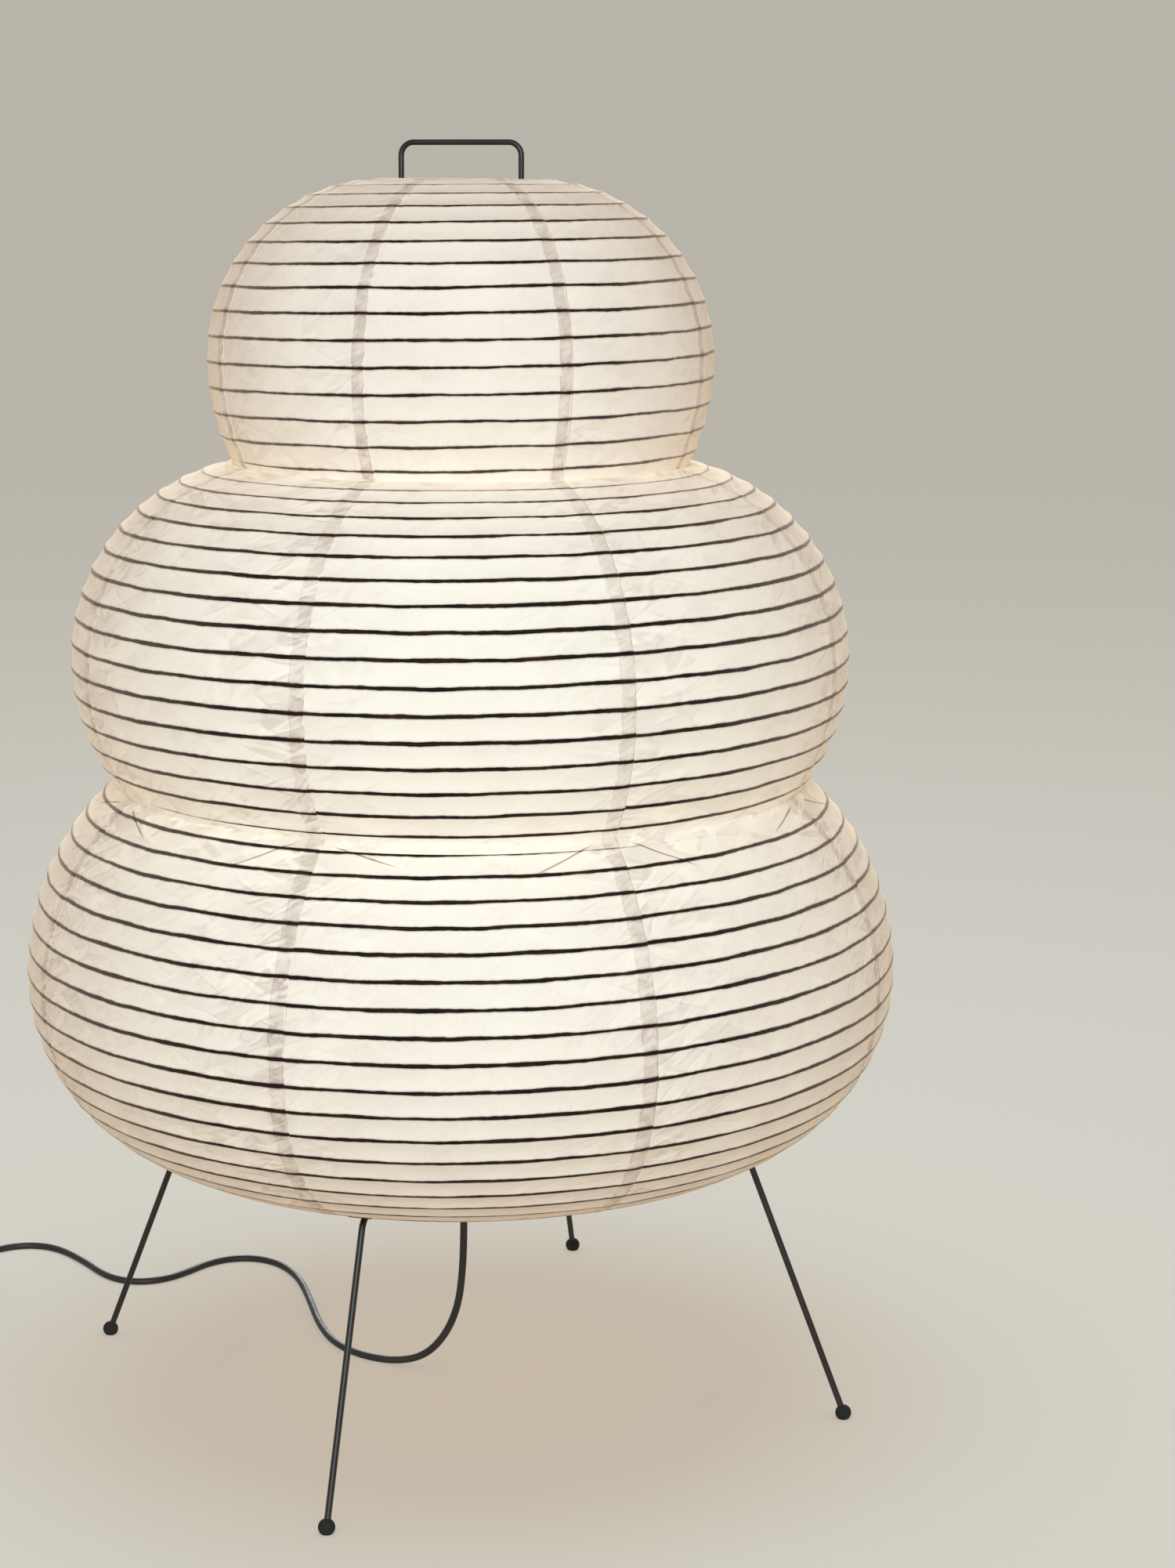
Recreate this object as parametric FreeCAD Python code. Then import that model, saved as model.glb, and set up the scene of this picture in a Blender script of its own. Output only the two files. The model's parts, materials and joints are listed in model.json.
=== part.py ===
import FreeCAD, Part
import math
import os

Vector = FreeCAD.Vector
UP = Vector(0, 0, 1)

# Driving dimensions, in millimetres and degrees. The floor is z = 0 and the lamp's axis is Z.
# Azimuths are counted from the front, which is -Y, towards the right, which is +X.

# Paper skin: three bellies between two waists. Heights stack up from the floor.
FLOOR_TO_SHADE = 194.0
BOTTOM_LOWER_RISE = 124.0
BOTTOM_UPPER_RISE = 136.0
MIDDLE_LOWER_RISE = 87.0
MIDDLE_UPPER_RISE = 135.5
TOP_LOWER_RISE = 72.0
TOP_UPPER_RISE = 122.0
BOTTOM_EDGE_R = 219.0
LOWER_WAIST_R = 244.0
UPPER_WAIST_R = 159.0
TOP_EDGE_R = 48.0
BOTTOM_SWELL = 65.5
MIDDLE_SWELL = 29.5
TOP_SWELL = 17.0
PAPER = 0.5
PANELS = 8
FIRST_SEAM = -4.1

# Bamboo ribs wound inside the skin, one strip for each belly
RIB_D = 2.2
RIB_PITCH = 17.2
RIB_GAP = 0.2
RIB_END = 7.0
RIB_START = {"bottom": 108.0, "middle": 258.5, "top": 226.5}

# Wire hoops at the two edges of the skin
HOOP_D = 4.0
HOOP_GAP = 0.2
HOOP_INSET = 2.2

# Legs and feet
LEG_D = 4.5
LEG_AZIMUTHS = {"front": 0.0, "right": 90.0, "back": 180.0, "left": 270.0}
ARM_BELOW_EDGE = 3.0
ELBOW_R = 212.0
ELBOW_BEND = 12.0
FOOT_CIRCLE_R = 286.0
FOOT_D = 11.5
FOOT_CENTRE_H = 4.2
FIT = 0.05

# Saddles on the arms, which the bottom hoop rests in
SADDLE_W = 16.0
SADDLE_L = 30.0
SADDLE_T = 3.4
SADDLE_SEAT_ANGLE = 40.0

# Hub with four sockets and their set screws
HUB_D = 60.0
HUB_H = 16.0
SOCKET_R = 14.0
SET_SCREW_D = 4.0
SET_SCREW_R = 23.0
SET_SCREW_SUNK = 0.5

# Stem, its nuts, and the crossbar that carries the wire stretcher
STEM_D = 10.0
STEM_BORE = 6.4
STEM_RISE = 202.0
STEM_BELOW_HUB = 14.0
STEM_NUT_ACROSS = 16.0
STEM_NUT_H = 4.0
CROSSBAR_SPARE = 9.0
CROSSBAR_W = 16.0
CROSSBAR_T = 6.0
STRETCHER_D = 4.0
STRETCHER_GAP = 2.5
STRETCHER_BEND = 9.0
HANDLE_ABOVE_EDGE = 25.0
STRETCHER_NUT_ACROSS = 8.0
STRETCHER_NUT_H = 3.2
COLLAR_H = 5.0
COLLAR_LAP = 1.0

# Lamp holder for an E27 bulb
HOLDER_D = 40.0
HOLDER_WALL = 2.4
HOLDER_BOSS_D = 17.0
HOLDER_BOSS_H = 10.0
HOLDER_CAP_H = 23.0
HOLDER_BODY_H = 38.0
HOLDER_LIP = 2.0
BASE_H = 10.0
BASE_GAP = 0.2
LINER_D = 28.6
LINER_WALL = 0.6
LINER_H = 25.0
CONTACT_D = 9.0
CONTACT_T = 1.2
TERMINAL_R = 10.0
TERMINAL_D = 3.4
TERMINAL_HEAD_D = 5.6
TERMINAL_HEAD_H = 1.4

# Bulb with an E27 cap
BULB_D = 60.0
BULB_TO_GLOBE = 74.0
CAP_D = 26.4
CAP_WALL = 0.6
CAP_H = 22.0
INSULATOR_H = 3.5
INSULATOR_D = 22.0
TIP_D = 9.0
TIP_H = 2.0
TIP_GAP = 0.3
GLASS = 0.8
GLASS_IN_CAP = 10.0
NECK_D = 30.0
NECK_H = 5.0
GLOBE_LEAVE = 38.0
MOUNT_D = 8.0
MOUNT_H = 40.0
LEAD_D = 0.8
LEAD_APART = 11.0
LEAD_RISE = 9.0
LEAD_BEND = 2.5

# Mains cord and strain relief
CORD_D = 5.5
CORD_GAP = 0.05
RELIEF_TAIL = 28.0
RELIEF_TIP_D = 8.4
RELIEF_ROOT_D = 13.0
RELIEF_SLEEVE_D = 16.0
RELIEF_SLEEVE_H = 8.0
INNER_CORD_SHORT = 0.3

# Route of the cord from the strain relief down to the floor and along it to the switch.
# It starts at the strain relief's tip and ends in the switch, whose places follow from their own sizes.
CORD_ROUTE = [
    (0, 0, 113),
    (-1, 0, 82),
    (-5, 1, 52),
    (-16, 2, 27),
    (-33, 3, 9),
    (-56, 3, 2.8),
    (-84, 7, 2.8),
    (-112, 24, 2.8),
    (-138, 59, 2.8),
    (-162, 103, 2.8),
    (-186, 144, 2.8),
    (-207, 168, 2.8),
    (-226, 180, 2.8),
    (-245, 182, 2.8),
    (-262, 174, 2.8),
    (-274, 158, 2.8),
    (-281, 136, 2.8),
    (-291, 116, 2.8),
    (-307, 104, 2.8),
    (-326, 103, 2.8),
    (-345, 112, 2.8),
    (-371, 134, 2.8),
    (-397, 152, 2.8),
    (-416, 159, 2.8),
    (-434, 157, 2.8),
    (-449, 146, 2.8),
    (-458, 130, 2.8),
    (-460, 112, 3.4),
]
ARC_SHARE = 0.45

# Inline switch, lying past the end of that route
SWITCH_START = (-449.0, 84.0)
SWITCH_HEADING = -63.4
SWITCH_L = 62.0
SWITCH_W = 26.0
SWITCH_BASE_H = 10.0
SWITCH_COVER_H = 8.0
SWITCH_ROUND = 7.0
SWITCH_CORD_Z = 6.5
SWITCH_CORD_IN = 5.0
SWITCH_FLOOR = 2.0
SWITCH_CELL_L = 40.0
SWITCH_CELL_W = 13.0
SWITCH_SCREW_D = 3.0
SWITCH_SCREW_X = 24.0
SWITCH_SCREW_Y = 9.5
SWITCH_SCREW_L = 14.0
SWITCH_SCREW_SUNK = 0.6
ROCKER_R = 8.0
ROCKER_W = 9.0
ROCKER_UP = 3.0
ROCKER_GAP = 0.4
ROCKER_TILT = 8.0
ROCKER_HEEL = 3.0
TRUNNION_D = 3.0
TRUNNION_L = 1.8
STRIP_L = 16.0
STRIP_W = 4.0
STRIP_T = 0.8
STRIP_Y = 3.5

# Spare cord, wound into a coil of two layers and tied
LEAD_IN = 44.0
COIL_R = 36.0
COIL_STEP = 6.15
COIL_TURNS_IN = 2.25
COIL_HALF_TURN = 0.5
COIL_LIFT = 1.35
TIE_W = 10.0
TIE_T = 0.8
TIE_GAP = 0.5
TIE_TURN = 0.375

# Plug with two round pins
PLUG_AFTER_COIL = 58.0
PLUG_NECK_L = 16.0
PLUG_NECK_D = 9.0
PLUG_ROOT_D = 13.0
PLUG_L = 22.0
PLUG_W = 26.0
PLUG_H = 14.0
PLUG_ROUND = 3.0
PIN_D = 4.0
PIN_L = 19.0
PIN_APART = 18.6
PIN_IN = 12.0
PIN_ROOT_D = 5.0

# Sizes that follow from the driving dimensions
BOTTOM_BELLY_Z = FLOOR_TO_SHADE + BOTTOM_LOWER_RISE
LOWER_WAIST_Z = BOTTOM_BELLY_Z + BOTTOM_UPPER_RISE
MIDDLE_BELLY_Z = LOWER_WAIST_Z + MIDDLE_LOWER_RISE
UPPER_WAIST_Z = MIDDLE_BELLY_Z + MIDDLE_UPPER_RISE
TOP_BELLY_Z = UPPER_WAIST_Z + TOP_LOWER_RISE
TOP_EDGE_Z = TOP_BELLY_Z + TOP_UPPER_RISE
ARM_Z = FLOOR_TO_SHADE - ARM_BELOW_EDGE
HUB_TOP = ARM_Z + HUB_H / 2
HUB_BOTTOM = ARM_Z - HUB_H / 2
CROSSBAR_TOP = HUB_TOP + CROSSBAR_T
STEM_TOP = HUB_TOP + STEM_RISE
STEM_BOTTOM = HUB_BOTTOM - STEM_BELOW_HUB
RELIEF_BOTTOM = STEM_BOTTOM - RELIEF_TAIL
HOLDER_Z = STEM_TOP - HOLDER_BOSS_H
BASE_Z = HOLDER_Z + HOLDER_CAP_H
LINER_Z = BASE_Z + BASE_H
TIP_Z = LINER_Z + CONTACT_T + TIP_GAP
INSULATOR_Z = TIP_Z + TIP_H
CAP_Z = INSULATOR_Z + INSULATOR_H
CAP_TOP = CAP_Z + CAP_H
GLOBE_Z = CAP_Z + BULB_TO_GLOBE
UPRIGHT_X = TOP_EDGE_R - STRETCHER_D / 2 - STRETCHER_GAP
HANDLE_Z = TOP_EDGE_Z + HANDLE_ABOVE_EDGE


def save(name, shape):
    """Write one node and print its size."""
    shape.exportStep("parts/" + name + ".step")
    box = shape.BoundBox
    print(name, len(shape.Solids), "solids", shape.isValid(), round(shape.Volume, 1), "mm3,",
          round(box.XLength, 1), round(box.YLength, 1), round(box.ZLength, 1), "mm")


def at_azimuth(shape, azimuth):
    """Turn a shape drawn in the XZ plane to an azimuth."""
    turned = shape.copy()
    turned.rotate(Vector(), UP, azimuth - 90.0)
    return turned


def group(shapes):
    """Several equal pieces as one node of separate solids."""
    return Part.Compound(shapes)


def turned_solid(outline, angle=360.0):
    """Turn a closed outline of edges in the XZ plane about Z."""
    return Part.Face(Part.Wire(outline)).revolve(Vector(), UP, angle)


def lathe(points):
    """Turn a closed outline of straight lines, given as radius and height, about Z."""
    corners = [Vector(r, 0, z) for r, z in points]
    return turned_solid(list(Part.makePolygon(corners + corners[:1]).Edges))


def cylinder(diameter, height, place, direction=UP):
    return Part.makeCylinder(diameter / 2, height, place, direction)


def hexagon(across, height, place):
    """A hexagonal prism on Z, as wide as across over its flats."""
    corner = across / math.sqrt(3)
    points = [Vector(corner * math.cos(a), corner * math.sin(a), 0)
              for a in (math.radians(60 * k) for k in range(7))]
    prism = Part.Face(Part.makePolygon(points)).extrude(Vector(0, 0, height))
    prism.translate(place)
    return prism


def nut(across, height, bore, place):
    """A hexagonal nut with a plain bore."""
    return hexagon(across, height, place).cut(cylinder(bore, height, place))


def rounded_box(length, width, height, radius, z):
    """A block centred on X and Y whose upright edges are rounded."""
    block = Part.makeBox(length, width, height, Vector(-length / 2, -width / 2, z))
    upright = [e for e in block.Edges if abs(e.BoundBox.ZLength - height) < 1e-6]
    return block.makeFillet(min(radius, 0.45 * width), upright)


def arc_along(start, tangent, end):
    """The arc that leaves start along tangent and reaches end."""
    chord = end - start
    along = chord * (1.0 / chord.Length)
    side = tangent - along * tangent.dot(along)
    half = math.atan2(side.Length, tangent.dot(along))
    bulge = side * (1.0 / side.Length) * (chord.Length / 2 * math.tan(half / 2))
    return Part.Arc(start, (start + end) * 0.5 + bulge, end).toShape()


def biarc(start, leaving, end, arriving):
    """Two arcs with a common tangent where they join, from one point and direction to another."""
    span = end - start
    spread = 2 * (1 - leaving.dot(arriving))
    ahead = span.dot(leaving + arriving)
    reach = (math.sqrt(ahead ** 2 + spread * span.dot(span)) - ahead) / spread
    join = (start + end + (leaving - arriving) * reach) * 0.5
    back = arc_along(end, arriving * -1.0, join)
    return [arc_along(start, leaving, join), Part.Arc(join, back.valueAt(
        (back.FirstParameter + back.LastParameter) / 2), end).toShape()]


def wound(stations):
    """A path of biarcs through stations, each a point and a direction."""
    edges = []
    for (start, leaving), (end, arriving) in zip(stations, stations[1:]):
        edges += biarc(start, leaving, end, arriving)
    return edges


def swept(edges, diameter):
    """A round bar along a smooth path of edges."""
    first = edges[0]
    start = first.valueAt(first.FirstParameter)
    way = first.tangentAt(first.FirstParameter)
    ring = Part.Wire(Part.Circle(start, way, diameter / 2).toShape())
    return Part.Wire(edges).makePipeShell([ring], True, False)


def bent_path(points, radius_of):
    """Straight runs with a tangent arc at each inner point, of the radius that radius_of gives."""
    edges = []
    radii = []
    last = points[0]
    for before, corner, after in zip(points, points[1:], points[2:]):
        back = (before - corner) * (1.0 / (before - corner).Length)
        on = (after - corner) * (1.0 / (after - corner).Length)
        half_turn = (math.pi - back.getAngle(on)) / 2
        shorter = min((before - corner).Length, (after - corner).Length)
        radius = radius_of(shorter, half_turn)
        trim = radius * math.tan(half_turn)
        middle = (back + on) * (1.0 / (back + on).Length)
        inmost = corner + middle * (radius / math.cos(half_turn) - radius)
        edges.append(Part.LineSegment(last, corner + back * trim).toShape())
        edges.append(Part.Arc(corner + back * trim, inmost, corner + on * trim).toShape())
        last = corner + on * trim
        radii.append(radius)
    edges.append(Part.LineSegment(last, points[-1]).toShape())
    return edges, radii


def bent_rod(points, bend, diameter):
    """A round rod with one bend radius."""
    edges, _ = bent_path(points, lambda shorter, half_turn: bend)
    return swept(edges, diameter)


def least_gap(points, per_turn, diameter):
    """The least gap between the turns of a wound bar, measured between points along it."""
    nearest = 1e9
    for k, point in enumerate(points):
        for other in points[k + per_turn // 2:]:
            nearest = min(nearest, point.distanceToPoint(other))
    return nearest - diameter


# The skin's profile

def half_belly(belly_r, belly_z, end_r, end_z):
    """The circle that is upright at the belly and passes through an end: its centre and radius."""
    depth = belly_r - end_r
    radius = (depth ** 2 + (end_z - belly_z) ** 2) / (2 * depth)
    return belly_r - radius, belly_z, radius


BELLIES = {
    "bottom": (LOWER_WAIST_R + BOTTOM_SWELL, BOTTOM_BELLY_Z, (BOTTOM_EDGE_R, FLOOR_TO_SHADE),
               (LOWER_WAIST_R, LOWER_WAIST_Z)),
    "middle": (LOWER_WAIST_R + MIDDLE_SWELL, MIDDLE_BELLY_Z, (LOWER_WAIST_R, LOWER_WAIST_Z),
               (UPPER_WAIST_R, UPPER_WAIST_Z)),
    "top": (UPPER_WAIST_R + TOP_SWELL, TOP_BELLY_Z, (UPPER_WAIST_R, UPPER_WAIST_Z),
            (TOP_EDGE_R, TOP_EDGE_Z)),
}
CIRCLES = []
for belly_r, belly_z, low_end, high_end in BELLIES.values():
    CIRCLES.append(half_belly(belly_r, belly_z, *low_end))
    CIRCLES.append(half_belly(belly_r, belly_z, *high_end))


def on_circle(circle, inset, angle):
    """A point of a half belly, inset from the skin's outer face."""
    centre_r, centre_z, radius = circle
    return centre_r + (radius - inset) * math.cos(angle), centre_z + (radius - inset) * math.sin(angle)


def angle_of(circle, point):
    return math.atan2(point[1] - circle[1], point[0] - circle[0])


def waist_point(below, above, inset, near):
    """Where two inset half bellies meet at a waist: the crossing that lies nearest the outer waist."""
    gap_r = above[0] - below[0]
    gap_z = above[1] - below[1]
    apart = math.hypot(gap_r, gap_z)
    r_below = below[2] - inset
    r_above = above[2] - inset
    along = (apart ** 2 + r_below ** 2 - r_above ** 2) / (2 * apart)
    aside = math.sqrt(r_below ** 2 - along ** 2)
    crossings = [(below[0] + (along * gap_r + side * aside * gap_z) / apart,
                  below[1] + (along * gap_z - side * aside * gap_r) / apart) for side in (1, -1)]
    return min(crossings, key=lambda p: math.dist(p, near))


def profile_ends(inset):
    """The seven ends of the six half bellies, from the bottom edge to the top edge."""
    waists = [(LOWER_WAIST_R, LOWER_WAIST_Z), (UPPER_WAIST_R, UPPER_WAIST_Z)]
    bottom_angle = angle_of(CIRCLES[0], (BOTTOM_EDGE_R, FLOOR_TO_SHADE))
    top_angle = angle_of(CIRCLES[5], (TOP_EDGE_R, TOP_EDGE_Z))
    return [
        on_circle(CIRCLES[0], inset, bottom_angle),
        on_circle(CIRCLES[0], inset, 0.0),
        waist_point(CIRCLES[1], CIRCLES[2], inset, waists[0]),
        on_circle(CIRCLES[2], inset, 0.0),
        waist_point(CIRCLES[3], CIRCLES[4], inset, waists[1]),
        on_circle(CIRCLES[4], inset, 0.0),
        on_circle(CIRCLES[5], inset, top_angle),
    ]


def profile_edges(inset):
    """The skin's profile as six arcs, inset from its outer face."""
    ends = profile_ends(inset)
    edges = []
    for circle, low, high in zip(CIRCLES, ends, ends[1:]):
        middle = on_circle(circle, inset, (angle_of(circle, low) + angle_of(circle, high)) / 2)
        points = [Vector(r, 0, z) for r, z in (low, middle, high)]
        edges.append(Part.Arc(*points).toShape())
    return edges


def paper_panel():
    """One gore of the skin, from the bottom edge to the top edge."""
    outer = profile_edges(0.0)
    inner = profile_edges(PAPER)
    ends = [(profile_ends(0.0)[k], profile_ends(PAPER)[k]) for k in (0, 6)]
    caps = [Part.LineSegment(Vector(a[0], 0, a[1]), Vector(b[0], 0, b[1])).toShape() for a, b in ends]
    outline = Part.__sortEdges__(outer + inner + caps)
    return turned_solid(outline, 360.0 / PANELS)


def rib(belly):
    """A strip of bamboo wound at a steady pitch inside one belly of the skin."""
    inset = PAPER + RIB_GAP + RIB_D / 2
    first = 2 * list(BELLIES).index(belly)
    ends = profile_ends(inset)[first:first + 3]
    lower, upper = CIRCLES[first:first + 2]
    low_angle = angle_of(lower, ends[0])
    lower_length = -low_angle * (lower[2] - inset)
    upper_length = angle_of(upper, ends[2]) * (upper[2] - inset)
    quarters = int(4 * (lower_length + upper_length - 2 * RIB_END) / RIB_PITCH)

    def station(turn):
        length = RIB_END + RIB_PITCH * turn
        circle = lower if length < lower_length else upper
        angle = (length - lower_length) / (circle[2] - inset)
        r, z = on_circle(circle, inset, angle)
        azimuth = math.radians(RIB_START[belly]) + 2 * math.pi * turn
        out = Vector(math.cos(azimuth), math.sin(azimuth), 0)
        climb = RIB_PITCH / (2 * math.pi)
        way = out * (-math.sin(angle) * climb) + UP.cross(out) * r + UP * (math.cos(angle) * climb)
        return out * r + UP * z, way.normalize()

    stations = [station(k / 4) for k in range(quarters + 1)]
    per_turn = 16
    points = [station(k / per_turn)[0] for k in range(quarters * per_turn // 4 + 1)]
    print("rib", belly, quarters / 4, "turns, least gap", round(least_gap(points, per_turn, RIB_D), 2))
    return swept(wound(stations), RIB_D)


def hoop_place(circle, edge, inwards):
    """Radius and height of a hoop's wire, inside the skin and HOOP_INSET from the skin's edge."""
    angle = angle_of(circle, edge) + inwards * HOOP_INSET / circle[2]
    return on_circle(circle, PAPER + HOOP_GAP + HOOP_D / 2, angle)


BOTTOM_HOOP = hoop_place(CIRCLES[0], (BOTTOM_EDGE_R, FLOOR_TO_SHADE), 1)
TOP_HOOP = hoop_place(CIRCLES[5], (TOP_EDGE_R, TOP_EDGE_Z), -1)


def hoop(place, grown=0.0):
    return Part.makeTorus(place[0], HOOP_D / 2 + grown, Vector(0, 0, place[1]))


# The stand

FOOT_CENTRE = Vector(FOOT_CIRCLE_R, 0, FOOT_CENTRE_H)
LEG_WAY = (Vector(ELBOW_R, 0, ARM_Z) - FOOT_CENTRE).normalize()


def leg():
    """A wire arm from its socket in the hub, bent down to the foot."""
    points = [Vector(SOCKET_R, 0, ARM_Z), Vector(ELBOW_R, 0, ARM_Z), FOOT_CENTRE]
    return bent_rod(points, ELBOW_BEND, LEG_D)


def foot():
    """A rubber ball pushed on the leg, cut flat where it stands on the floor."""
    ball = Part.makeSphere(FOOT_D / 2, FOOT_CENTRE)
    bore = cylinder(LEG_D + 2 * FIT, FOOT_D, FOOT_CENTRE, LEG_WAY)
    below = Part.makeBox(2 * FOOT_D, 2 * FOOT_D, FOOT_D, Vector(FOOT_CIRCLE_R - FOOT_D, -FOOT_D, -FOOT_D))
    return ball.cut(bore).cut(below)


def hub():
    """A turned disc with a bore for the stem and four sockets for the arms."""
    body = cylinder(HUB_D, HUB_H, Vector(0, 0, HUB_BOTTOM))
    body = body.cut(cylinder(STEM_D + 2 * FIT, HUB_H, Vector(0, 0, HUB_BOTTOM)))
    socket = cylinder(LEG_D + 2 * FIT, HUB_D, Vector(SOCKET_R, 0, ARM_Z), Vector(1, 0, 0))
    tapped = cylinder(SET_SCREW_D + 2 * FIT, HUB_H, Vector(SET_SCREW_R, 0, ARM_Z))
    for azimuth in LEG_AZIMUTHS.values():
        body = body.cut(at_azimuth(socket.fuse(tapped), azimuth))
    return body


def set_screw():
    low = ARM_Z + LEG_D / 2
    return cylinder(SET_SCREW_D, HUB_TOP - SET_SCREW_SUNK - low, Vector(SET_SCREW_R, 0, low))


def saddle():
    """A plate welded on an arm, with a groove at its end where the bottom hoop rests."""
    reach = BOTTOM_HOOP[0] - (HOOP_D / 2 + HOOP_GAP) * math.cos(math.radians(SADDLE_SEAT_ANGLE))
    corner = Vector(reach - SADDLE_L, -SADDLE_W / 2, ARM_Z + LEG_D / 2)
    return Part.makeBox(SADDLE_L, SADDLE_W, SADDLE_T, corner).cut(hoop(BOTTOM_HOOP, HOOP_GAP))


def crossbar():
    """A flat bar clamped on the hub, which carries the stretcher."""
    length = 2 * (UPRIGHT_X + CROSSBAR_SPARE)
    bar = rounded_box(length, CROSSBAR_W, CROSSBAR_T, CROSSBAR_W, HUB_TOP)
    bar = bar.cut(cylinder(STEM_D + 2 * FIT, CROSSBAR_T, Vector(0, 0, HUB_TOP)))
    for x in (-UPRIGHT_X, UPRIGHT_X):
        bar = bar.cut(cylinder(STRETCHER_D + 2 * FIT, CROSSBAR_T, Vector(x, 0, HUB_TOP)))
    return bar


def stem():
    tube = cylinder(STEM_D, STEM_TOP - STEM_BOTTOM, Vector(0, 0, STEM_BOTTOM))
    return tube.cut(cylinder(STEM_BORE, STEM_TOP - STEM_BOTTOM, Vector(0, 0, STEM_BOTTOM)))


def stretcher():
    """A wire hoop that stands on the crossbar, holds the shade up and ends in the carrying handle."""
    points = [Vector(-UPRIGHT_X, 0, HUB_TOP), Vector(-UPRIGHT_X, 0, HANDLE_Z),
              Vector(UPRIGHT_X, 0, HANDLE_Z), Vector(UPRIGHT_X, 0, HUB_TOP)]
    return bent_rod(points, STRETCHER_BEND, STRETCHER_D)


def collar(x):
    """A ring on an upright, on which the top hoop rests."""
    top = TOP_HOOP[1] - HOOP_D / 2 - HOOP_GAP
    diameter = 2 * (TOP_HOOP[0] + COLLAR_LAP - UPRIGHT_X)
    ring = cylinder(diameter, COLLAR_H, Vector(x, 0, top - COLLAR_H))
    return ring.cut(cylinder(STRETCHER_D + 2 * FIT, COLLAR_H, Vector(x, 0, top - COLLAR_H)))


# The lamp holder

def holder_cap():
    """The lower cover, screwed on the stem's top end."""
    outer = HOLDER_D / 2
    boss = HOLDER_BOSS_D / 2
    bore = STEM_D / 2 + FIT
    ledge = outer - 2 * HOLDER_WALL
    shoulder = HOLDER_Z + HOLDER_CAP_H / 2
    return lathe([(bore, HOLDER_Z), (boss, HOLDER_Z), (boss, shoulder - HOLDER_CAP_H / 4),
                  (outer, shoulder + HOLDER_CAP_H / 4), (outer, BASE_Z), (ledge, BASE_Z),
                  (ledge, shoulder + HOLDER_CAP_H / 4), (boss, STEM_TOP), (bore, STEM_TOP)])


def holder_body():
    """The outer sleeve, with a lip round the bulb's cap."""
    outer = HOLDER_D / 2
    inner = outer - HOLDER_WALL
    lip = LINER_D / 2
    top = BASE_Z + HOLDER_BODY_H
    return lathe([(inner, BASE_Z), (outer, BASE_Z), (outer, top), (lip, top),
                  (lip, top - HOLDER_LIP), (inner, top - HOLDER_LIP)])


def terminal(x):
    """A terminal screw: its head on the base and its shank through it."""
    shank = cylinder(TERMINAL_D, BASE_H, Vector(x, 0, BASE_Z))
    return shank.fuse(cylinder(TERMINAL_HEAD_D, TERMINAL_HEAD_H, Vector(x, 0, LINER_Z)))


def holder_base():
    """The ceramic disc that carries the screw liner, the contact and the terminals."""
    disc = cylinder(HOLDER_D - 2 * HOLDER_WALL - 2 * BASE_GAP, BASE_H, Vector(0, 0, BASE_Z))
    for x in (-TERMINAL_R, TERMINAL_R):
        disc = disc.cut(cylinder(TERMINAL_D + 2 * FIT, BASE_H, Vector(x, 0, BASE_Z)))
    return disc


def holder_liner():
    tube = cylinder(LINER_D, LINER_H, Vector(0, 0, LINER_Z))
    return tube.cut(cylinder(LINER_D - 2 * LINER_WALL, LINER_H, Vector(0, 0, LINER_Z)))


# The bulb

def glass_outline(inset):
    """Outer or inner line of the glass: collar in the cap, neck, cone and globe."""
    collar_r = CAP_D / 2 - CAP_WALL - BASE_GAP - inset
    neck_r = NECK_D / 2 - inset
    globe_r = BULB_D / 2 - inset
    leave = -math.radians(GLOBE_LEAVE)
    corners = [(collar_r, CAP_TOP - GLASS_IN_CAP), (collar_r, CAP_TOP), (neck_r, CAP_TOP + NECK_H),
               (globe_r * math.cos(leave), GLOBE_Z + globe_r * math.sin(leave))]
    points = [Vector(r, 0, z) for r, z in corners]
    lines = [Part.LineSegment(a, b).toShape() for a, b in zip(points, points[1:])]
    middle = Vector(globe_r * math.cos(0.5), 0, GLOBE_Z + globe_r * math.sin(0.5))
    top = Vector(0, 0, GLOBE_Z + globe_r)
    return lines + [Part.Arc(points[-1], middle, top).toShape()], points[0], top


def bulb_glass():
    outer, outer_foot, outer_top = glass_outline(0.0)
    inner, inner_foot, inner_top = glass_outline(GLASS)
    closing = [Part.LineSegment(outer_foot, inner_foot).toShape(),
               Part.LineSegment(outer_top, inner_top).toShape()]
    return turned_solid(Part.__sortEdges__(outer + inner + closing))


def bulb_cap():
    """The screw cap, as a plain cup whose rim clasps the glass."""
    outer = CAP_D / 2
    hole = INSULATOR_D / 2
    return lathe([(hole, CAP_Z), (outer, CAP_Z), (outer, CAP_TOP), (outer - CAP_WALL, CAP_TOP),
                  (outer - CAP_WALL, CAP_Z + CAP_WALL), (hole, CAP_Z + CAP_WALL)])


def bulb_insulator():
    """The black glass cone that closes the cap round its centre contact."""
    wide = INSULATOR_D / 2
    narrow = TIP_D / 2
    return lathe([(0, INSULATOR_Z), (narrow, INSULATOR_Z), (wide, CAP_Z), (wide, CAP_Z + CAP_WALL),
                  (0, CAP_Z + CAP_WALL)])


def bulb_mount():
    """The glass stem inside the bulb, standing on the insulator."""
    return cylinder(MOUNT_D, MOUNT_H, Vector(0, 0, CAP_Z + CAP_WALL))


def bulb_filament():
    """Two lead wires from the mount's top, joined by the filament."""
    low = CAP_Z + CAP_WALL + MOUNT_H + LEAD_D / 2
    half = LEAD_APART / 2
    inner = MOUNT_D / 4
    points = [Vector(-inner, 0, low), Vector(-half, 0, low + LEAD_RISE),
              Vector(half, 0, low + LEAD_RISE), Vector(inner, 0, low)]
    return bent_rod(points, LEAD_BEND, LEAD_D)


# The cord and what is on it

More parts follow.
